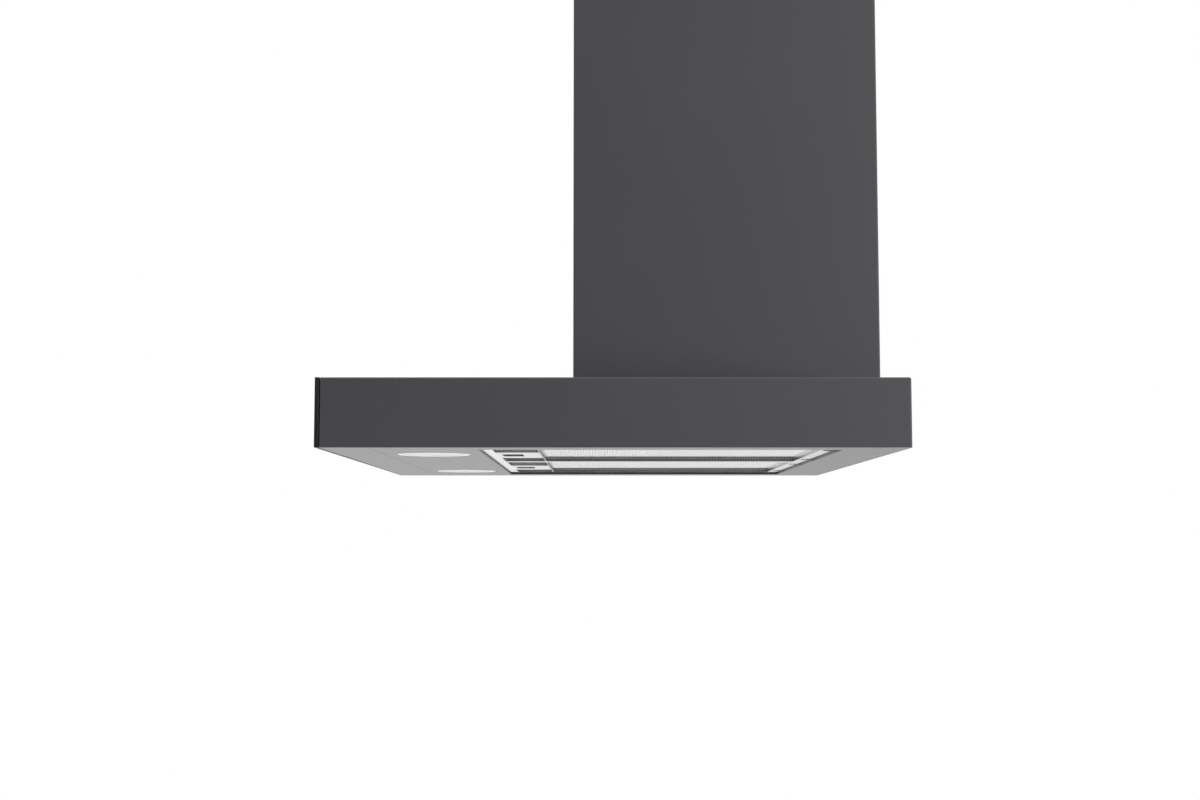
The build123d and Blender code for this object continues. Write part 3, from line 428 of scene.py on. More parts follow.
def add_piece(name, mesh, finish_name, body, replaced=(), sharp=35.0):
    """Put a mesh in the scene as a piece with its finish, smooth but for its sharp edges."""
    if isinstance(mesh, bmesh.types.BMesh):
        mesh = mesh_from(mesh, name)
    if not len(mesh.polygons):
        raise RuntimeError(f"{name} came out empty")
    mesh.materials.clear()
    mesh.materials.append(FINISHES[finish_name])
    mesh.shade_smooth()
    mesh.set_sharp_from_angle(angle=radians(sharp))
    piece = link_object(name, mesh)
    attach(piece, body)
    if replaced:
        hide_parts(*replaced)
    return piece


def along(axis, point):
    """The place of a turned form whose height runs along an axis from a point in millimetres."""
    turn = Vector((0, 0, 1)).rotation_difference(Vector(axis)).to_matrix().to_4x4()
    return Matrix.Translation(mm(*point)) @ turn


def bridge(bm, rings):
    """Join rings of points, or single points, by a skin of faces."""
    steps = max(len(ring) for ring in rings)
    for lower, upper in zip(rings, rings[1:]):
        for i in range(steps):
            j = i + 1
            sides = ((lower, i), (lower, j), (upper, j), (upper, i))
            corners = list(dict.fromkeys(ring[k % len(ring)] for ring, k in sides))
            if len(corners) > 2:
                bm.faces.new(corners)


def turned(bm, profile, place, steps):
    """Sweep a profile of (radius, height) points in millimetres round an axis, at a place."""
    angles = [tau * i / steps for i in range(steps)]
    rings = []
    for radius, height in profile:
        around = angles if radius else angles[:1]
        points = [mm(radius * cos(a), radius * sin(a), height) for a in around]
        rings.append([bm.verts.new(place @ point) for point in points])
    bridge(bm, rings)


def turned_ring(profile, place, steps):
    """A bmesh of a profile that meets itself, swept round an axis."""
    bm = bmesh.new()
    turned(bm, [*profile, profile[0]], place, steps)
    bmesh.ops.remove_doubles(bm, verts=bm.verts, dist=1e-7)
    return bm


def box_into(bm, low, high, radius=0.0, segments=2):
    """A box between two corners in millimetres, with rounded edges."""
    corners = bmesh.ops.create_cube(bm, size=1.0)["verts"]
    bmesh.ops.scale(bm, vec=mm(*high) - mm(*low), verts=corners)
    bmesh.ops.translate(bm, vec=(mm(*high) + mm(*low)) / 2, verts=corners)
    if radius:
        edges = list({edge for corner in corners for edge in corner.link_edges})
        bmesh.ops.bevel(
            bm, geom=edges, offset=radius / 1000, segments=segments, profile=0.5,
            affect="EDGES", clamp_overlap=True,
        )


def evaluated_mesh(source, name):
    """The mesh of an object with its modifiers applied; the object itself goes."""
    bpy.context.view_layer.update()
    finished = source.evaluated_get(bpy.context.evaluated_depsgraph_get())
    shape = bpy.data.meshes.new_from_object(finished)
    shape.name = name
    bpy.data.objects.remove(source)
    return shape


def cut_away(body, cutter, name):
    """The mesh of one bmesh less another."""
    body, cutter = [link_object(name, mesh_from(bm, name)) for bm in (body, cutter)]
    modifier = body.modifiers.new("cut", "BOOLEAN")
    modifier.object = cutter
    modifier.operation = "DIFFERENCE"
    modifier.solver = "EXACT"
    shape = evaluated_mesh(body, name)
    bpy.data.objects.remove(cutter)
    return shape


def merged(parts):
    """One bmesh with a copy of each mesh at its place."""
    bm = bmesh.new()
    for mesh, place in parts:
        start = len(bm.verts)
        bm.from_mesh(mesh)
        bm.verts.ensure_lookup_table()
        bmesh.ops.transform(bm, matrix=place, verts=bm.verts[start:])
    return bm


def soften(node, width_mm):
    """Break a CAD node's sharp edges by a small radius, as a brake or a mould leaves them."""
    weld = NODES[node].modifiers.new("weld", "WELD")
    weld.merge_threshold = 1e-6
    bevel = NODES[node].modifiers.new("edges", "BEVEL")
    bevel.width = width_mm / 1000
    bevel.segments = 2
    bevel.limit_method = "ANGLE"
    bevel.angle_limit = radians(50)


def screw_mesh(head, shank_end, recess_r, recess_depth):
    """A cross-recessed screw whose face is at height 0 and whose shank runs to -shank_end.

    The head's profile ends at the top of the shank.
    """
    shank_r, height = head[-1]
    pitch = 1.0
    thread = []
    while height > -shank_end + pitch:
        thread += [
            (shank_r * 0.8, height), (shank_r, height - pitch * 0.35),
            (shank_r, height - pitch * 0.5),
        ]
        height -= pitch
    tip = [(shank_r * 0.8, -shank_end + 0.8), (shank_r * 0.4, -shank_end), (0, -shank_end)]
    screw = bmesh.new()
    turned(screw, [(0, 0), *head, *thread, *tip], Matrix(), 28)
    # A cross with four equal arms, drawn in to half its size at its floor
    half = recess_r * 0.21
    arm = [(recess_r, -half), (recess_r, half), (half, half)]
    outline = []
    for _ in range(4):
        outline += arm
        arm = [(-y, x) for x, y in arm]
    cross = bmesh.new()
    mouth = [cross.verts.new(mm(x, y, recess_depth)) for x, y in outline]
    floor = [cross.verts.new(mm(x * 0.5, y * 0.5, -recess_depth)) for x, y in outline]
    cross.faces.new(mouth)
    cross.faces.new(floor[::-1])
    for i in range(len(outline)):
        cross.faces.new([floor[i - 1], floor[i], mouth[i], mouth[i - 1]])
    return cut_away(screw, cross, "screw")


def helix_tube(points, radius_mm, sides=10):
    """A closed tube along a line of points in millimetres."""
    line = [mm(*point) for point in points]
    bm = bmesh.new()
    rings = []
    normal = (line[1] - line[0]).normalized().orthogonal().normalized()
    for i, centre in enumerate(line):
        ahead = (line[min(i + 1, len(line) - 1)] - line[max(i - 1, 0)]).normalized()
        normal = (normal - ahead * normal.dot(ahead)).normalized()
        across = ahead.cross(normal)
        ring = []
        for k in range(sides):
            outward = normal * cos(tau * k / sides) + across * sin(tau * k / sides)
            ring.append(bm.verts.new(centre + outward * radius_mm / 1000))
        rings.append(ring)
    bridge(bm, rings)
    bm.faces.new(rings[0][::-1])
    bm.faces.new(rings[-1])
    return bm


def strands(*corners):
    """Points in metres of many strands, from the x, y and z in millimetres of their corners."""
    columns = [np.broadcast_arrays(*corner) for corner in corners]
    return np.array(columns, dtype=float).transpose(2, 0, 1).reshape(-1, 3) / 1000


def stretched_mesh(x0, x1, y0, y1, z, long_pitch, short_pitch, width, fold, shift=0):
    """One pleated expanded sheet: slanted strands that meet in staggered bonds."""
    columns = int((x1 - x0) / (long_pitch / 2))
    rows = int((y1 - y0) / (short_pitch / 2))
    step_x = (x1 - x0) / columns
    step_y = (y1 - y0) / rows
    i, j = np.meshgrid(np.arange(columns), np.arange(rows + 1), indexing="ij")
    is_bond = (i + j + shift) % 2 == 0
    sheet = []
    for rise in (1, -1):
        has_end = is_bond & (j + rise >= 0) & (j + rise <= rows)
        column, row = i[has_end], j[has_end]
        left, right = x0 + column * step_x, x0 + (column + 1) * step_x
        start, end = y0 + row * step_y, y0 + (row + rise) * step_y
        near = (column + shift) % 2 * fold
        far = fold - near
        low, end_low, end_high, high = [
            np.clip(y, y0, y1)
            for y in (start - width / 2, end - width / 2, end + width / 2, start + width / 2)
        ]
        sheet.append(strands(
            (left, low, z + near), (right, end_low, z + far),
            (right, end_high, z + far), (left, high, z + near),
        ))
    return np.concatenate(sheet)


def edge_strands(x, y0, y1, z0, z1, pitch, width):
    """The strands that turn down, leaning a little, at the cut edge of a sheet."""
    middle = np.arange(y0 + pitch / 2, y1 - pitch / 2, pitch)
    low, high = middle - width / 2, middle + width / 2
    top = x + (z1 - z0) * 0.3
    return strands((x, low, z0), (x, high, z0), (top, high, z1), (top, low, z1))


def folded_edge(x0, x1, y, z0, z1, pitch):
    """The plain border of a sheet, folded down along one side in short facets."""
    ends = np.linspace(x0, x1, int((x1 - x0) / pitch) + 1)
    left, right = ends[:-1], ends[1:]
    return strands((left, y, z0), (right, y, z0), (right, y, z1), (left, y, z1))


def mesh_of_strands(name, points):
    """A mesh of separate four-cornered strands."""
    mesh = bpy.data.meshes.new(name)
    mesh.from_pydata(points, [], np.arange(len(points)).reshape(-1, 4))
    return mesh


# ---- What a user may change ------------------------------------------------------------------


class RangeHoodSizes(bpy.types.PropertyGroup):
    """Sizes of the pieces that are dressed here."""

    # A real filter's openings are about half as large, too fine to show in the render
    strand_pitch: bpy.props.FloatProperty(
        name="Mesh rows", description="Distance between the rows of the filter mesh",
        default=0.0028, min=0.001, subtype="DISTANCE", unit="LENGTH",
    )
    strand_length: bpy.props.FloatProperty(
        name="Mesh openings", description="Length of one opening of the filter mesh",
        default=0.006, min=0.002, subtype="DISTANCE", unit="LENGTH",
    )
    strand_width: bpy.props.FloatProperty(
        name="Strand", description="Width of one strand of the filter mesh",
        default=0.0013, min=0.0002, subtype="DISTANCE", unit="LENGTH",
    )
    spring_turns: bpy.props.IntProperty(
        name="Spring turns", description="Turns of each latch spring", default=7, min=3,
    )
    mark_height: bpy.props.FloatProperty(
        name="Mark height", description="Height of the numbers printed on the glass",
        default=0.007, min=0.003, subtype="DISTANCE", unit="LENGTH",
    )


class RangeHoodColours(bpy.types.PropertyGroup):
    """Colours of the finishes, as linear values."""

    coat: bpy.props.FloatVectorProperty(
        name="Coat", description="Powder coat of the canopy and the chimney",
        default=linear("#4e4e51"), subtype="COLOR", min=0, max=1,
    )
    glass: bpy.props.FloatVectorProperty(
        name="Glass", description="Enamel behind the glass",
        default=linear("#0d0d0e"), subtype="COLOR", min=0, max=1,
    )
    glass_edge: bpy.props.FloatVectorProperty(
        name="Glass edge", description="Ground edge of the glass",
        default=linear("#1f1f20"), subtype="COLOR", min=0, max=1,
    )
    underside: bpy.props.FloatVectorProperty(
        name="Underside", description="Coated sheet of the underside",
        default=linear("#606062"), subtype="COLOR", min=0, max=1,
    )
    filters: bpy.props.FloatVectorProperty(
        name="Filters", description="Anodised frames of the filters",
        default=linear("#efeff0"), subtype="COLOR", min=0, max=1,
    )
    lens: bpy.props.FloatVectorProperty(
        name="Lens", description="Opal lens of the lamps",
        default=linear("#f2f2f1"), subtype="COLOR", min=0, max=1,
    )


class RangeHoodStage(bpy.types.PropertyGroup):
    """The studio round the hood."""

    floor_drop: bpy.props.FloatProperty(
        name="Floor", description="How far the floor lies below the hood",
        default=1.6, min=0.1, subtype="DISTANCE", unit="LENGTH",
    )
    room_light: bpy.props.FloatProperty(
        name="Room light", description="Strength of the light from all round",
        default=0.34, min=0,
    )
    key_light: bpy.props.FloatProperty(
        name="Key light", description="Power of the brightest softbox; the others follow it",
        default=32.0, min=0, unit="POWER",
    )


# ---- Operators -------------------------------------------------------------------------------


class RANGEHOOD_OT_finishes(bpy.types.Operator):
    """Make all finishes of the hood"""

    bl_idname = "rangehood.finishes"
    bl_label = "Finishes"

    def execute(self, context):
        colours = context.scene.range_hood_colours
        makers = {
            "powder coat": (satin_powder_coat, "powder_coated_steel_satin", colours.coat),
            "glass": (printed_glass, "toughened_glass_back_printed", colours.glass),
            "glass edge": (ground_glass_edge, "toughened_glass_ground_edge", colours.glass_edge),
            "marks": (screen_ink, "enamel_ink_screen_printed", "#d9dadb"),
            "underside": (rolled_coat, "coil_coated_steel_charcoal", colours.underside),
            "frame": (
                anodised_aluminium, "aluminium_anodised_brushed", colours.filters, 0.26, 0.55,
            ),
            "mesh": (expanded_aluminium, "aluminium_expanded_mill_finish", "#fafafb"),
            "tray": (anodised_aluminium, "aluminium_anodised_grey", "#d0d0d3", 0.5, 0.4),
            "latch": (silver_lacquer, "abs_lacquered_silver", "#e4e4e6"),
            "slide": (moulded_plastic, "polyamide_moulded_grey", "#3c3c3f"),
            "spring": (drawn_steel, "spring_steel_drawn_wire", "#b9babd", 1),
            "zinc": (plated_steel, "steel_zinc_plated", "#c9ccd0"),
            "galvanised": (galvanised_sheet, "steel_hot_dip_galvanised", "#b6babd"),
            "bezel": (polished_chrome, "abs_chromium_plated_polished", "#e4e5e7"),
            "lens": (opal_acrylic, "acrylic_opal_moulded", colours.lens),
            "lamp body": (die_cast_aluminium, "aluminium_die_cast_blasted", "#b7b8ba"),
            "white plastic": (moulded_plastic, "polycarbonate_moulded_white", "#e6e6e2", 0.9, 0.42),
            "black plastic": (moulded_plastic, "polyamide_moulded_black", "#232325"),
            "clear": (clear_acrylic, "acrylic_moulded_clear", "#e6ebee"),
            "board": (circuit_board, "glass_fibre_board_lacquered_green", "#1d5a38"),
            "foam": (soft_rubber, "acrylic_foam_tape_black", "#242424", 0.8),
            "rubber": (soft_rubber, "rubber_moulded_black", "#27272a"),
            "casing": (moulded_plastic, "polypropylene_moulded_dark_grey", "#434447", 1.1, 0.5),
            "impeller": (moulded_plastic, "polypropylene_moulded_black", "#333437", 0.8, 0.45),
            "motor": (satin_powder_coat, "steel_lacquered_motor_shell", "#5d6064"),
            "shaft": (drawn_steel, "steel_ground_shaft", "#c4c5c8", 0),
            "can": (
                moulded_plastic, "polypropylene_moulded_white_can", "#dfdfda", 0.6, 0.35, 0.01,
            ),
            "cable": (soft_rubber, "pvc_extruded_cable_jacket", "#2c2c2f", 0.9),
            "lacquered screw": (
                satin_powder_coat, "steel_screw_lacquered_charcoal", colours.underside,
            ),
            "brass": (plated_steel, "brass_nickel_plated", "#cdbf8e", 0.3),
        }
        for key, (maker, name, colour, *rest) in makers.items():
            colour = linear(colour) if isinstance(colour, str) else colour
            FINISHES[key] = maker(name, colour, *rest)
        return {"FINISHED"}


class RANGEHOOD_OT_canopy(bpy.types.Operator):
    """Finish the canopy's folded sheets, its rails and its tape"""

    bl_idname = "rangehood.canopy"
    bl_label = "Canopy"

    def execute(self, context):
        finish("powder coat", "canopy_shell")
        finish("underside", "front_carrier", "underside_panel")
        finish("galvanised", "side_rails")
        finish("foam", "glass_tape")
        return {"FINISHED"}


class RANGEHOOD_OT_glass(bpy.types.Operator):
    """Make the glass front with its ground edges and the marks of the touch control"""

    bl_idname = "rangehood.glass"
    bl_label = "Glass front"

    def execute(self, context):
        low, high, _ = box_mm("glass_fascia")
        print_thickness = 0.05
        edge_radius = 0.45
        front = low[1] + print_thickness
        bm = bmesh.new()
        box_into(bm, (low[0], front, low[2]), high, edge_radius, 3)
        pane = add_piece("glass_front", bm, "glass", "hood", ["glass_fascia"], 25)
        pane.data.materials.append(FINISHES["glass edge"])
        for face in pane.data.polygons:
            face.material_index = 0 if abs(face.normal.y) > 0.5 else 1
        self.print_marks(context, front, low[1])
        finish("clear", "touch_guide")
        finish("board", "touch_board")
        finish("black plastic", "touch_case")
        return {"FINISHED"}

    def print_marks(self, context, back, front):
        """Plain rings, a bar, a dot and numbers, where a finger switches the fan and the lamps"""
        low, high, (_, _, z) = box_mm("touch_guide")
        depth = back - front
        height = context.scene.range_hood_sizes.mark_height * 1000
        ring_r, line, half_bar, dot_r = height * 0.55, 0.6, 0.35, 1.2
        font_size = height * 1.35
        span = (high[0] - low[0]) * 0.8
        places = [-span / 2 + span * i / 4 for i in range(5)]
        upright = Matrix.Rotation(pi / 2, 4, "X")
        parts = []
        for x, text in zip(places[1:4], "123"):
            curve = bpy.data.curves.new("number", "FONT")
            curve.body = text
            curve.size = font_size / 1000
            curve.extrude = depth / 2000
            curve.align_x = "CENTER"
            curve.align_y = "CENTER"
            shape = evaluated_mesh(link_object("number", curve), "number")
            parts.append((shape, Matrix.Translation(mm(x, (back + front) / 2, z)) @ upright))
        inner_r = ring_r - line
        for x in (places[0], places[4]):
            profile = [(ring_r, 0), (ring_r, depth), (inner_r, depth), (inner_r, 0)]
            ring = turned_ring(profile, Matrix(), 48)
            if x < 0:
                box_into(ring, (-half_bar, ring_r * 0.2, 0), (half_bar, ring_r + line, depth))
            else:
                turned(ring, [(0, 0), (dot_r, 0), (dot_r, depth), (0, depth)], Matrix(), 32)
            parts.append((mesh_from(ring, "mark"), Matrix.Translation(mm(x, back, z)) @ upright))
        add_piece("touch_marks", merged(parts), "marks", "hood")


class RANGEHOOD_OT_filters(bpy.types.Operator):
    """Make the filters' layers of expanded mesh, and finish their frames, trays and pins"""

    bl_idname = "rangehood.filters"
    bl_label = "Grease filters"

    def execute(self, context):
        sizes = context.scene.range_hood_sizes
        pitch = sizes.strand_pitch * 1000
        length = sizes.strand_length * 1000
        width = sizes.strand_width * 1000
        inset, grip = 0.4, 3.0
        fold, coarse_fold = 0.6, 1.6
        for side in SIDES:
            low, high, _ = box_mm(f"filter_mesh_{side}")
            area = (low[0] + inset, high[0] - inset, low[1] + inset, high[1] - inset)
            foot, face, back = low[2] + 0.05, low[2] + 1.8, low[2] + 2.7
            coarse = low[2] + (high[2] - low[2]) * 0.7
            layers = [
                stretched_mesh(*area, face, length, pitch, width, fold),
                stretched_mesh(*area, back, length, pitch, width, fold, 1),
                stretched_mesh(*area, coarse, length * 2, pitch * 2, width * 2, coarse_fold),
            ]
            for x in area[:2]:
                layers.append(edge_strands(x, *area[2:], foot, face, pitch, width))
            ends = (area[0] + grip, area[1] - grip)
            for y in (low[1] + 0.1, high[1] - grip - 0.1):
                layers.append(folded_edge(*ends, y, foot, face + 0.1, length))
            name = f"expanded_mesh_{side}"
            add_piece(
                name, mesh_of_strands(name, np.concatenate(layers)), "mesh", f"filter_{side}",
                [f"filter_mesh_{side}"], 60,
            )
            finish("frame", f"filter_frame_{side}")
            finish("tray", f"filter_tray_{side}")
            finish("zinc", f"filter_pivots_{side}")
        finish("zinc", "pivot_hooks")
        return {"FINISHED"}


class RANGEHOOD_OT_latches(bpy.types.Operator):
    """Finish the latch plates and slides, and make the coil springs behind them"""

    bl_idname = "rangehood.latches"
    bl_label = "Filter latches"

    def execute(self, context):
        for side in SIDES:
            finish("latch", f"latch_plate_{side}")
            soften(f"latch_plate_{side}", 0.35)
            finish("slide", f"latch_slide_{side}")
            soften(f"latch_slide_{side}", 0.2)
            self.spring(side, context.scene.range_hood_sizes.spring_turns)
        return {"FINISHED"}

    def spring(self, side, turns):
        """A coil spring with closed ends, made at rest, though its latch squeezes it when pulled"""
        low, high, (x, _, z) = box_mm(f"latch_spring_{side}")
        wire_r = 0.28
        coil_r = (high[0] - low[0]) / 2 - wire_r
        steps = 16
        count = turns * steps
        closed = 0.08
        points = []
        for i in range(count + 1):
            angle = tau * i / steps
            # The end turns lie closer together than the middle ones
            share = i / count
            open_share = min(1, max(0, (share - closed) / (1 - 2 * closed)))
            eased = 0.5 * (0.5 - 0.5 * cos(pi * open_share)) + 0.5 * share
            y = low[1] + wire_r + (high[1] - low[1] - 2 * wire_r) * eased
            points.append((x + coil_r * cos(angle), y, z + coil_r * sin(angle)))
        spring = add_piece(
            f"coil_spring_{side}", helix_tube(points, wire_r), "spring", f"filter_{side}",
            [f"latch_spring_{side}"], 60,
        )
        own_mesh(spring)


class RANGEHOOD_OT_lamps(bpy.types.Operator):
    """Make the lamps' turned rings and lenses, and finish their bodies and clips"""

    bl_idname = "rangehood.lamps"
    bl_label = "Lamps"

    def execute(self, context):
        for side in SIDES:
            low, high, (x, y, _) = box_mm(f"lamp_bezel_{side}")
            lens_low, lens_high, _ = box_mm(f"lamp_lens_{side}")
            body_low, body_high, _ = box_mm(f"lamp_body_{side}")
            r = (high[0] - low[0]) / 2
            lens_r = (lens_high[0] - lens_low[0]) / 2
            body_r = (body_high[0] - body_low[0]) / 2
            top = high[2]
            flange = lens_high[2]
            rim = lens_low[2]
            place = along((0, 0, 1), (x, y, 0))
            bm = turned_ring([
                (lens_r + 0.1, flange), (lens_r + 0.1, 0.5), (lens_r + 0.35, 0.15),
                (lens_r + 0.8, 0), (r - 1.4, 0), (r - 0.7, 0.15), (r - 0.2, 0.55), (r, 1.1),
                (r, flange - 0.1), (r - 0.1, flange), (lens_r + 1.6, flange),
                (lens_r + 1.6, flange + 0.3), (body_r, flange + 0.3), (body_r, top),
                (body_r - 1.5, top), (body_r - 1.5, flange),
            ], place, 72)
            bezel, lens = f"lamp_bezel_{side}", f"lamp_lens_{side}"
            add_piece(f"lamp_ring_{side}", bm, "bezel", "hood", [bezel], 30)
            bm = bmesh.new()
            turned(bm, [
                (0, rim + 0.9), (lens_r * 0.5, rim + 0.75), (lens_r * 0.85, rim + 0.4),
                (lens_r * 0.96, rim + 0.1), (lens_r - 0.3, rim), (lens_r, rim + 0.3),
                (lens_r, flange), (0, flange),
            ], place, 72)
            add_piece(f"lamp_diffuser_{side}", bm, "lens", "hood", [lens], 40)
            finish("lamp body", f"lamp_body_{side}")
        finish("spring", "lamp_clips")
        finish("white plastic", "lamp_driver")
        return {"FINISHED"}


class RANGEHOOD_OT_screws(bpy.types.Operator):
    """Make all screws, with their cross recesses and threads"""

    bl_idname = "rangehood.screws"
    bl_label = "Screws"

    def execute(self, context):
        pan = [(1.2, 0), (2.6, -0.25), (3.6, -0.9), (4, -1.6), (4, -2.2), (2.0, -2.2)]
        countersunk = [(2.4, 0), (4, 0), (4, -0.1), (2.0, -2.0)]
        short = screw_mesh(pan, 8.2, 1.9, 1.3)
        long = screw_mesh(pan, 15.2, 1.9, 1.3)
        flush = screw_mesh(countersunk, 8.0, 2.1, 1.4)
        upwards = {
            node: [Matrix.Translation(mm(*top)) for top in solids_of(node, 2)]
            for node in ("blower_screws", "chimney_foot_screws")
        }
        downwards = [
            Matrix.Translation(mm(x, y, 0)) @ Matrix.Rotation(pi, 4, "X")
            for x, y, _ in solids_of("panel_screws", 2)
        ]
        reach = box_mm("chimney_screws")[1][0]
        sideways = []
        for x, y, z in solids_of("chimney_screws", 0):
            way = 1 if x > 0 else -1
            sideways.append(along((way, 0, 0), (reach * way, y, z)))
        head_x = box_mm("motor_screws")[0][0]
        motor = [along((-1, 0, 0), (head_x, y, z)) for _, y, z in solids_of("motor_screws", 0)]
        for piece, mesh, places, finish_name, body, node in (
            ("blower_box_screws", short, upwards["blower_screws"], "zinc", "hood", "blower_screws"),
            ("chimney_base_screws", short, upwards["chimney_foot_screws"], "zinc", "hood",
             "chimney_foot_screws"),
            ("underside_screws", flush, downwards, "lacquered screw", "hood", "panel_screws"),
            ("chimney_side_screws", short, sideways, "zinc", "upper_chimney", "chimney_screws"),
            ("motor_mount_screws", long, motor, "zinc", "hood", "motor_screws"),
        ):
            screws = merged((mesh, place) for place in places)
            add_piece(piece, screws, finish_name, body, [node])
        return {"FINISHED"}


class RANGEHOOD_OT_chimney(bpy.types.Operator):
    """Finish the two chimney covers, their bracket and the wall plate"""

    bl_idname = "rangehood.chimney"
    bl_label = "Chimney"

    def execute(self, context):
        finish("powder coat", "chimney_lower", "chimney_upper")
        finish("galvanised", "chimney_bracket", "wall_plate")
        return {"FINISHED"}


class RANGEHOOD_OT_blower(bpy.types.Operator):
    """Finish the blower: its box, scroll casing, impeller and motor"""

    bl_idname = "rangehood.blower"
    bl_label = "Blower"

    def execute(self, context):
        finish("galvanised", "blower_box")
        finish("casing", "scroll_casing_left", "scroll_casing_right")
        finish("impeller", "impeller")
        finish("shaft", "motor_shaft")
        finish("zinc", "motor_spider")
        self.motor_shell()
        self.grommets()
        return {"FINISHED"}

    def motor_shell(self):
        """The motor's drawn shell, with a rolled rim, a vent ring and its bearing boss"""
        (rear, _, bottom), (front, _, top), (_, y, z) = box_mm("motor_body")
        r = (top - bottom) / 2
        wall_r = r - 0.4
        shoulder = front - 5.0
        bore, boss = 4.05, 12
        shell = turned_ring([
            (bore, rear), (8, rear), (10, rear + 1.2), (r - 9, rear + 1.6), (r - 4, rear + 2.6),
            (r - 1.2, rear + 5.5), (wall_r, rear + 8), (wall_r, rear + 30), (r, rear + 31),
            (r, rear + 34), (wall_r, rear + 35), (wall_r, shoulder - 30), (wall_r, shoulder - 8),
            (r - 1.2, shoulder - 4), (r - 4, shoulder - 1.2), (r - 8, shoulder), (boss, shoulder),
            (boss, front), (bore, front),
        ], along((1, 0, 0), (0, y, z)), 64)
        vents = bmesh.new()
        vent_count, vent_size = 12, mm(8, 3, 10)
        for k in range(vent_count):
            corners = bmesh.ops.create_cube(vents, size=1.0)["verts"]
            bmesh.ops.scale(vents, vec=vent_size, verts=corners)
            turn = Matrix.Rotation(tau * k / vent_count, 4, "X")
            outwards = Matrix.Translation(mm(0, 0, r * 0.55))
            place = Matrix.Translation(mm(rear, y, z)) @ turn @ outwards
            bmesh.ops.transform(vents, matrix=place, verts=corners)
        mesh = cut_away(shell, vents, "motor_shell")
        add_piece("motor_shell", mesh, "motor", "hood", ["motor_body"], 30)

    def grommets(self):
        """Waisted rubber grommets between the motor's feet and the casing"""
        low, high, _ = box_mm("motor_grommets")
        length = high[0] - low[0]
        bore, waist, chamfer, rim = 2.1, 4.8, 5.6, 6
        parts = []
        for _, y, z in solids_of("motor_grommets", 0):
            grommet = turned_ring([
                (bore, 0), (chamfer, 0), (rim, 0.4), (rim, 1.1), (waist, 1.6),
                (waist, length - 1.6), (rim, length - 1.1), (rim, length - 0.4),
                (chamfer, length), (bore, length),
            ], along((1, 0, 0), (low[0], y, z)), 32)
            parts.append((mesh_from(grommet, "grommet"), Matrix()))
        add_piece(
            "rubber_grommets", merged(parts), "rubber", "hood", ["motor_grommets"],
        )


class RANGEHOOD_OT_motor_cable(bpy.types.Operator):
    """Lay the motor's cable from its shell up into the terminal box"""

    bl_idname = "rangehood.motor_cable"
    bl_label = "Motor cable"

    def execute(self, context):
        low, high, _ = box_mm("motor_cable")
        _, _, (_, shell_y, _) = box_mm("motor_body")
        r = 3.0
        rise = 32.0
        straight = 46.0
        route = [
            (high[0] - r, shell_y, low[2]),
            (high[0] - r, shell_y, low[2] + rise),
            (low[0] + r, low[1] + r, high[2] - straight),
            (low[0] + r, low[1] + r, high[2]),
        ]
        curve = bpy.data.curves.new("motor_lead", "CURVE")
        curve.dimensions = "3D"
        curve.bevel_depth = r / 1000
        curve.bevel_resolution = 5
        curve.resolution_u = 24
        curve.use_fill_caps = True
        spline = curve.splines.new("NURBS")
        spline.points.add(len(route) - 1)
        for point, place in zip(spline.points, route):
            point.co = (*mm(*place), 1.0)
        spline.order_u = 3
        spline.use_endpoint_u = True
        curve.materials.append(FINISHES["cable"])
        lead = link_object("motor_lead", curve)
        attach(lead, "hood")
        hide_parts("motor_cable")
        return {"FINISHED"}


class RANGEHOOD_OT_outlet(bpy.types.Operator):
    """Finish the exhaust collar and its flaps"""

    bl_idname = "rangehood.outlet"
    bl_label = "Exhaust outlet"

    def execute(self, context):
        finish("black plastic", "exhaust_collar")
        finish("casing", "flap_left", "flap_right")
        finish("zinc", "flap_pins")
        return {"FINISHED"}


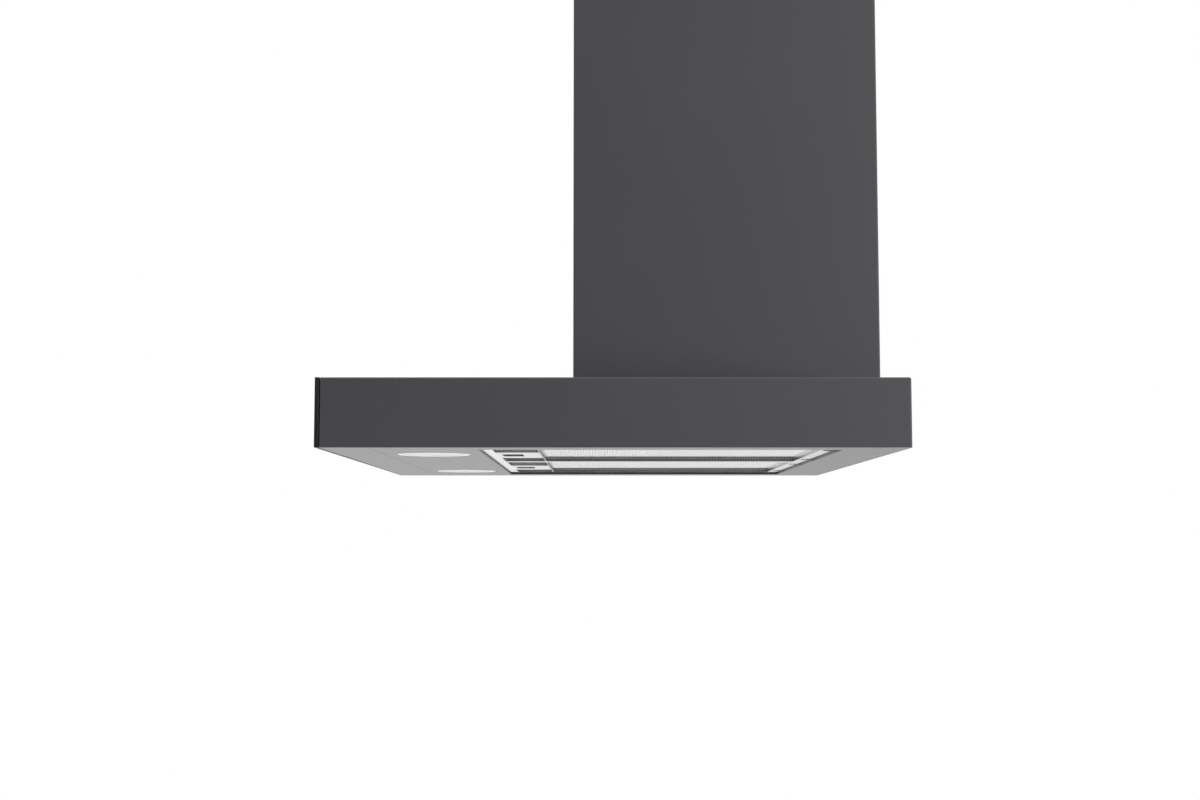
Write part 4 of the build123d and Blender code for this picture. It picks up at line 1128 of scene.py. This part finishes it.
class RANGEHOOD_OT_electrics(bpy.types.Operator):
    """Make the gland, the terminal block and the capacitor, and finish the terminal box"""

    bl_idname = "rangehood.electrics"
    bl_label = "Electrical parts"

    def execute(self, context):
        finish("white plastic", "terminal_box", "terminal_lid")
        soften("terminal_lid", 0.4)
        finish("spring", "capacitor_clip")
        self.gland()
        self.terminals()
        self.can()
        return {"FINISHED"}

    def gland(self):
        """A cable gland: hexagon body and a ribbed, domed nut"""
        low, high, (x, y, _) = box_mm("cable_gland")
        bore, neck = 4.0, 6
        corner_r, corner_cut = 9.0, 0.35
        nut_r, rib, rib_count = 7.1, 0.35, 18
        top = high[2]
        base = low[2] + 2.0
        steps = 72
        profile = [
            (bore, low[2]), (neck, low[2]), (neck, base), ("hexagon", base),
            ("hexagon", base + 5.6), ("nut", base + 5.9), ("nut", top - 3.0), ("nut", top - 2.0),
            (6.2, top - 0.5), (5.4, top), (bore, top),
        ]
        bm = bmesh.new()
        rings = []
        for form, height in profile:
            ring = []
            for i in range(steps):
                angle = tau * i / steps
                if form == "hexagon":
                    off_flat = (angle + pi / 6) % (pi / 3) - pi / 6
                    radius = min(corner_r * cos(pi / 6) / cos(off_flat), corner_r - corner_cut)
                elif form == "nut":
                    radius = nut_r + rib * cos(angle * rib_count)
                else:
                    radius = form
                across, along_y = radius * cos(angle + pi / 6), radius * sin(angle + pi / 6)
                ring.append(bm.verts.new(mm(x + across, y + along_y, height)))
            rings.append(ring)
        bridge(bm, [*rings, rings[0]])
        add_piece(
            "gland_with_nut", bm, "black plastic", "hood", ["cable_gland"], 30,
        )

    def terminals(self):
        """A three-way terminal block with its clamping screws"""
        low, high, (middle, y, _) = box_mm("terminal_block")
        ways = [middle + step * 10 for step in (-1, 0, 1)]
        seat = high[2] - 4
        block, holes = bmesh.new(), bmesh.new()
        box_into(block, low, high, 0.6)
        screw_hole = [(0, 0), (3, 0), (3, 6), (0, 6)]
        wire_hole = [(0, 0), (2, 0), (2, 40), (0, 40)]
        for x in ways:
            turned(holes, screw_hole, along((0, 0, 1), (x, y, seat)), 32)
            turned(holes, wire_hole, along((0, 1, 0), (x, y - 20, low[2] + 4.5)), 24)
        add_piece(
            "terminal_strip", cut_away(block, holes, "block"), "white plastic", "hood",
            ["terminal_block"], 30,
        )
        screw, slot = bmesh.new(), bmesh.new()
        turned(screw, [(0, 0), (2.7, 0), (2.7, 1.6), (2.3, 2.0), (0, 2.0)], Matrix(), 32)
        box_into(slot, (-4, -0.35, 1.2), (4, 0.35, 3))
        shape = cut_away(screw, slot, "screw")
        # The driver leaves each slot at another angle
        screws = merged(
            (shape, Matrix.Translation(mm(x, y, seat)) @ Matrix.Rotation(turn, 4, "Z"))
            for x, turn in zip(ways, (-0.5, 0.5, 1.5))
        )
        add_piece("terminal_screws", screws, "brass", "hood")

    def can(self):
        """The motor's capacitor: a smooth can with a stepped end and its two tabs"""
        low, high, (_, y, z) = box_mm("capacitor")
        r = (high[2] - low[2]) / 2
        end = high[0] - low[0]
        bm = bmesh.new()
        turned(bm, [
            (0, 0), (r - 2, 0), (r - 0.6, 0.5), (r, 1.6), (r, end - 6.5), (r - 0.5, end - 5.6),
            (r - 2.5, end - 5.2), (r - 2.5, end - 4.4), (0, end - 4.4),
        ], along((1, 0, 0), (low[0], y, z)), 56)
        for tab_y in (y - 5, y + 5):
            box_into(bm, (high[0] - 4.6, tab_y - 0.4, z - 3), (high[0], tab_y + 0.4, z + 3), 0.2)
        add_piece("capacitor_can", bm, "can", "hood", ["capacitor"], 30)


class RANGEHOOD_OT_stage(bpy.types.Operator):
    """Set up the pale studio, its soft lights and the camera"""

    bl_idname = "rangehood.stage"
    bl_label = "Stage"

    def execute(self, context):
        settings = context.scene.range_hood_stage
        self.floor(settings)
        self.room(context, settings)
        self.lights(settings)
        self.camera(context)
        context.scene.view_settings.view_transform = "Standard"
        return {"FINISHED"}

    def rays(self, holder, *kinds):
        """1 for rays of these kinds, and 0 for the others"""
        path = add_node(holder, "ShaderNodeLightPath").outputs
        found = path[kinds[0]]
        for kind in kinds[1:]:
            either = {0: found, 1: path[kind]}
            found = add_node(
                holder, "ShaderNodeMath", {"operation": "MAXIMUM"}, either,
            ).outputs[0]
        return found

    def floor(self, settings):
        """A wide pale floor, white in mirrors; the camera looks past it and so sees from below"""
        half_width = 6.0
        bm = bmesh.new()
        bmesh.ops.create_grid(bm, x_segments=24, y_segments=24, size=half_width)
        bmesh.ops.translate(bm, vec=(0, 0, -settings.floor_drop), verts=bm.verts)
        material = new_material("studio_floor_white", 0.9)
        grain = add_node(material, "ShaderNodeTexNoise", {"Scale": 40.0}).outputs["Fac"]
        surface(material, (1.0, 1.0, 1.0), (grain, 0.48, 0.52, 0.0, 1.0))
        place = material.node_tree.nodes["place"].outputs["Object"]
        across = add_node(material, "ShaderNodeSeparateXYZ", {}, {"Vector": place}).outputs["X"]
        # In mirrors the floor goes dark to one side, like the studio beyond it
        dark = between(material, across, 1.0, 0.06, 0.6, 2.2)
        level = add_node(
            material, "ShaderNodeMix", {"data_type": "FLOAT", 2: 1.0},
            {0: self.rays(material, "Is Glossy Ray"), 3: dark},
        ).outputs[0]
        white = add_node(material, "ShaderNodeEmission", {}, {"Strength": level}).outputs[0]
        seen = self.rays(material, "Is Camera Ray", "Is Glossy Ray", "Is Transmission Ray")
        paint = material.node_tree.nodes["Principled BSDF"].outputs["BSDF"]
        blend = add_node(material, "ShaderNodeMixShader", {}, {0: seen, 1: paint, 2: white})
        end = material.node_tree.nodes["Material Output"]
        material.node_tree.links.new(blend.outputs["Shader"], end.inputs["Surface"])
        floor = link_object("studio_floor", mesh_from(bm, "studio_floor"))
        floor.data.materials.append(material)
        floor.visible_camera = False

    def room(self, context, settings):
        """Even light from all round, with a dark studio behind the camera's side"""
        world = bpy.data.worlds.new("studio")
        context.scene.world = world
        world.use_nodes = True
        direction = add_node(world, "ShaderNodeTexCoord").outputs["Generated"]
        parts = add_node(world, "ShaderNodeSeparateXYZ", {}, {"Vector": direction}).outputs
        # On the camera's side mirrors see a dark studio, which gets brighter towards the wall
        facing = between(world, parts["X"], 0.0, 1.0, 0.3, 0.85)
        near = between(world, parts["Y"], 0.03, 1.5, 0.02, 0.6)
        far = between(world, parts["Y"], 1.0, 0.72, -0.1, 0.14)
        studio = add_node(
            world, "ShaderNodeMix", {"data_type": "FLOAT"}, {0: facing, 2: far, 3: near},
        )
        mirror = add_node(
            world, "ShaderNodeMix", {"data_type": "FLOAT", 2: settings.room_light},
            {0: self.rays(world, "Is Glossy Ray"), 3: studio.outputs[0]},
        )
        strength = add_node(
            world, "ShaderNodeMix", {"data_type": "FLOAT", 3: 1.0},
            {0: self.rays(world, "Is Camera Ray", "Is Transmission Ray"), 2: mirror.outputs[0]},
        )
        background = world.node_tree.nodes["Background"]
        background.inputs["Color"].default_value = (1, 1, 1, 1)
        world.node_tree.links.new(strength.outputs[0], background.inputs["Strength"])

    def lights(self, settings):
        """Softboxes: two beside the wall, one in front, one overhead and one below the filters"""
        near_floor = 0.1 - settings.floor_drop
        for name, place, target, size, share in (
            ("softbox_wall_side", (1.4, 1.3, 0.18), (0.3, -0.2, 0.2), 1.0, 1.0),
            ("softbox_far_side", (-1.6, 1.2, 0.5), (-0.3, -0.2, 0.2), 1.2, 0.5),
            ("softbox_front", (0.6, -2.2, 1.4), (0.0, -0.4, 0.2), 1.2, 0.3),
            ("softbox_overhead", (0.0, -0.4, 2.6), (0.0, -0.3, 0.0), 2.0, 0.5),
            ("softbox_below", (0.0, -0.3, near_floor), (0.0, -0.3, 0.0), 1.8, 0.5),
        ):
            light = bpy.data.lights.new(name, "AREA")
            light.shape = "SQUARE"
            light.size = size
            light.energy = settings.key_light * share
            lamp = link_object(name, light)
            lamp.location = place
            aim = Vector(target) - Vector(place)
            lamp.rotation_euler = aim.to_track_quat("-Z", "Y").to_euler()
            lamp.visible_glossy = name in ("softbox_front", "softbox_overhead")
            lamp.visible_camera = False

    def camera(self, context):
        """The photograph's camera: beside the hood, a little lower, looking slightly upwards"""
        data = bpy.data.cameras.new("camera")
        data.sensor_width = 36.0
        data.lens = 48.79
        data.clip_end = 50.0
        camera = link_object("camera", data)
        camera.location = (1.6553, -0.2610, -0.0761)
        camera.rotation_euler = (radians(94.885), 0.0, radians(90.0))
        context.scene.camera = camera


class RANGEHOOD_PT_sidebar(bpy.types.Panel):
    """The hood's steps and settings"""

    bl_idname = "RANGEHOOD_PT_sidebar"
    bl_label = "Range Hood"
    bl_space_type = "VIEW_3D"
    bl_region_type = "UI"
    bl_category = "Range Hood"

    def draw(self, context):
        layout = self.layout
        for operator in OPERATORS:
            layout.operator(operator.bl_idname)
        for group_name in GROUPS:
            group = getattr(context.scene, group_name)
            for name in group.__annotations__:
                layout.prop(group, name)


OPERATORS = [
    RANGEHOOD_OT_finishes,
    RANGEHOOD_OT_motor_cable,
    RANGEHOOD_OT_canopy,
    RANGEHOOD_OT_glass,
    RANGEHOOD_OT_filters,
    RANGEHOOD_OT_latches,
    RANGEHOOD_OT_lamps,
    RANGEHOOD_OT_screws,
    RANGEHOOD_OT_chimney,
    RANGEHOOD_OT_blower,
    RANGEHOOD_OT_outlet,
    RANGEHOOD_OT_electrics,
    RANGEHOOD_OT_stage,
]
GROUPS = {
    "range_hood_sizes": RangeHoodSizes,
    "range_hood_colours": RangeHoodColours,
    "range_hood_stage": RangeHoodStage,
}


def register():
    """Register the property groups, the operators and the panel."""
    for name, group in GROUPS.items():
        bpy.utils.register_class(group)
        setattr(bpy.types.Scene, name, bpy.props.PointerProperty(type=group))
    for operator in OPERATORS:
        bpy.utils.register_class(operator)
    bpy.utils.register_class(RANGEHOOD_PT_sidebar)


def unregister():
    """Take them all away again."""
    bpy.utils.unregister_class(RANGEHOOD_PT_sidebar)
    for operator in reversed(OPERATORS):
        bpy.utils.unregister_class(operator)
    for name, group in GROUPS.items():
        delattr(bpy.types.Scene, name)
        bpy.utils.unregister_class(group)


def main():
    """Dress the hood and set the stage."""
    register()
    for operator in OPERATORS:
        step = operator.bl_idname.split(".")[1]
        if "FINISHED" not in getattr(bpy.ops.rangehood, step)():
            raise RuntimeError(f"{operator.bl_label} didn't finish")


if __name__ == "__main__":
    main()
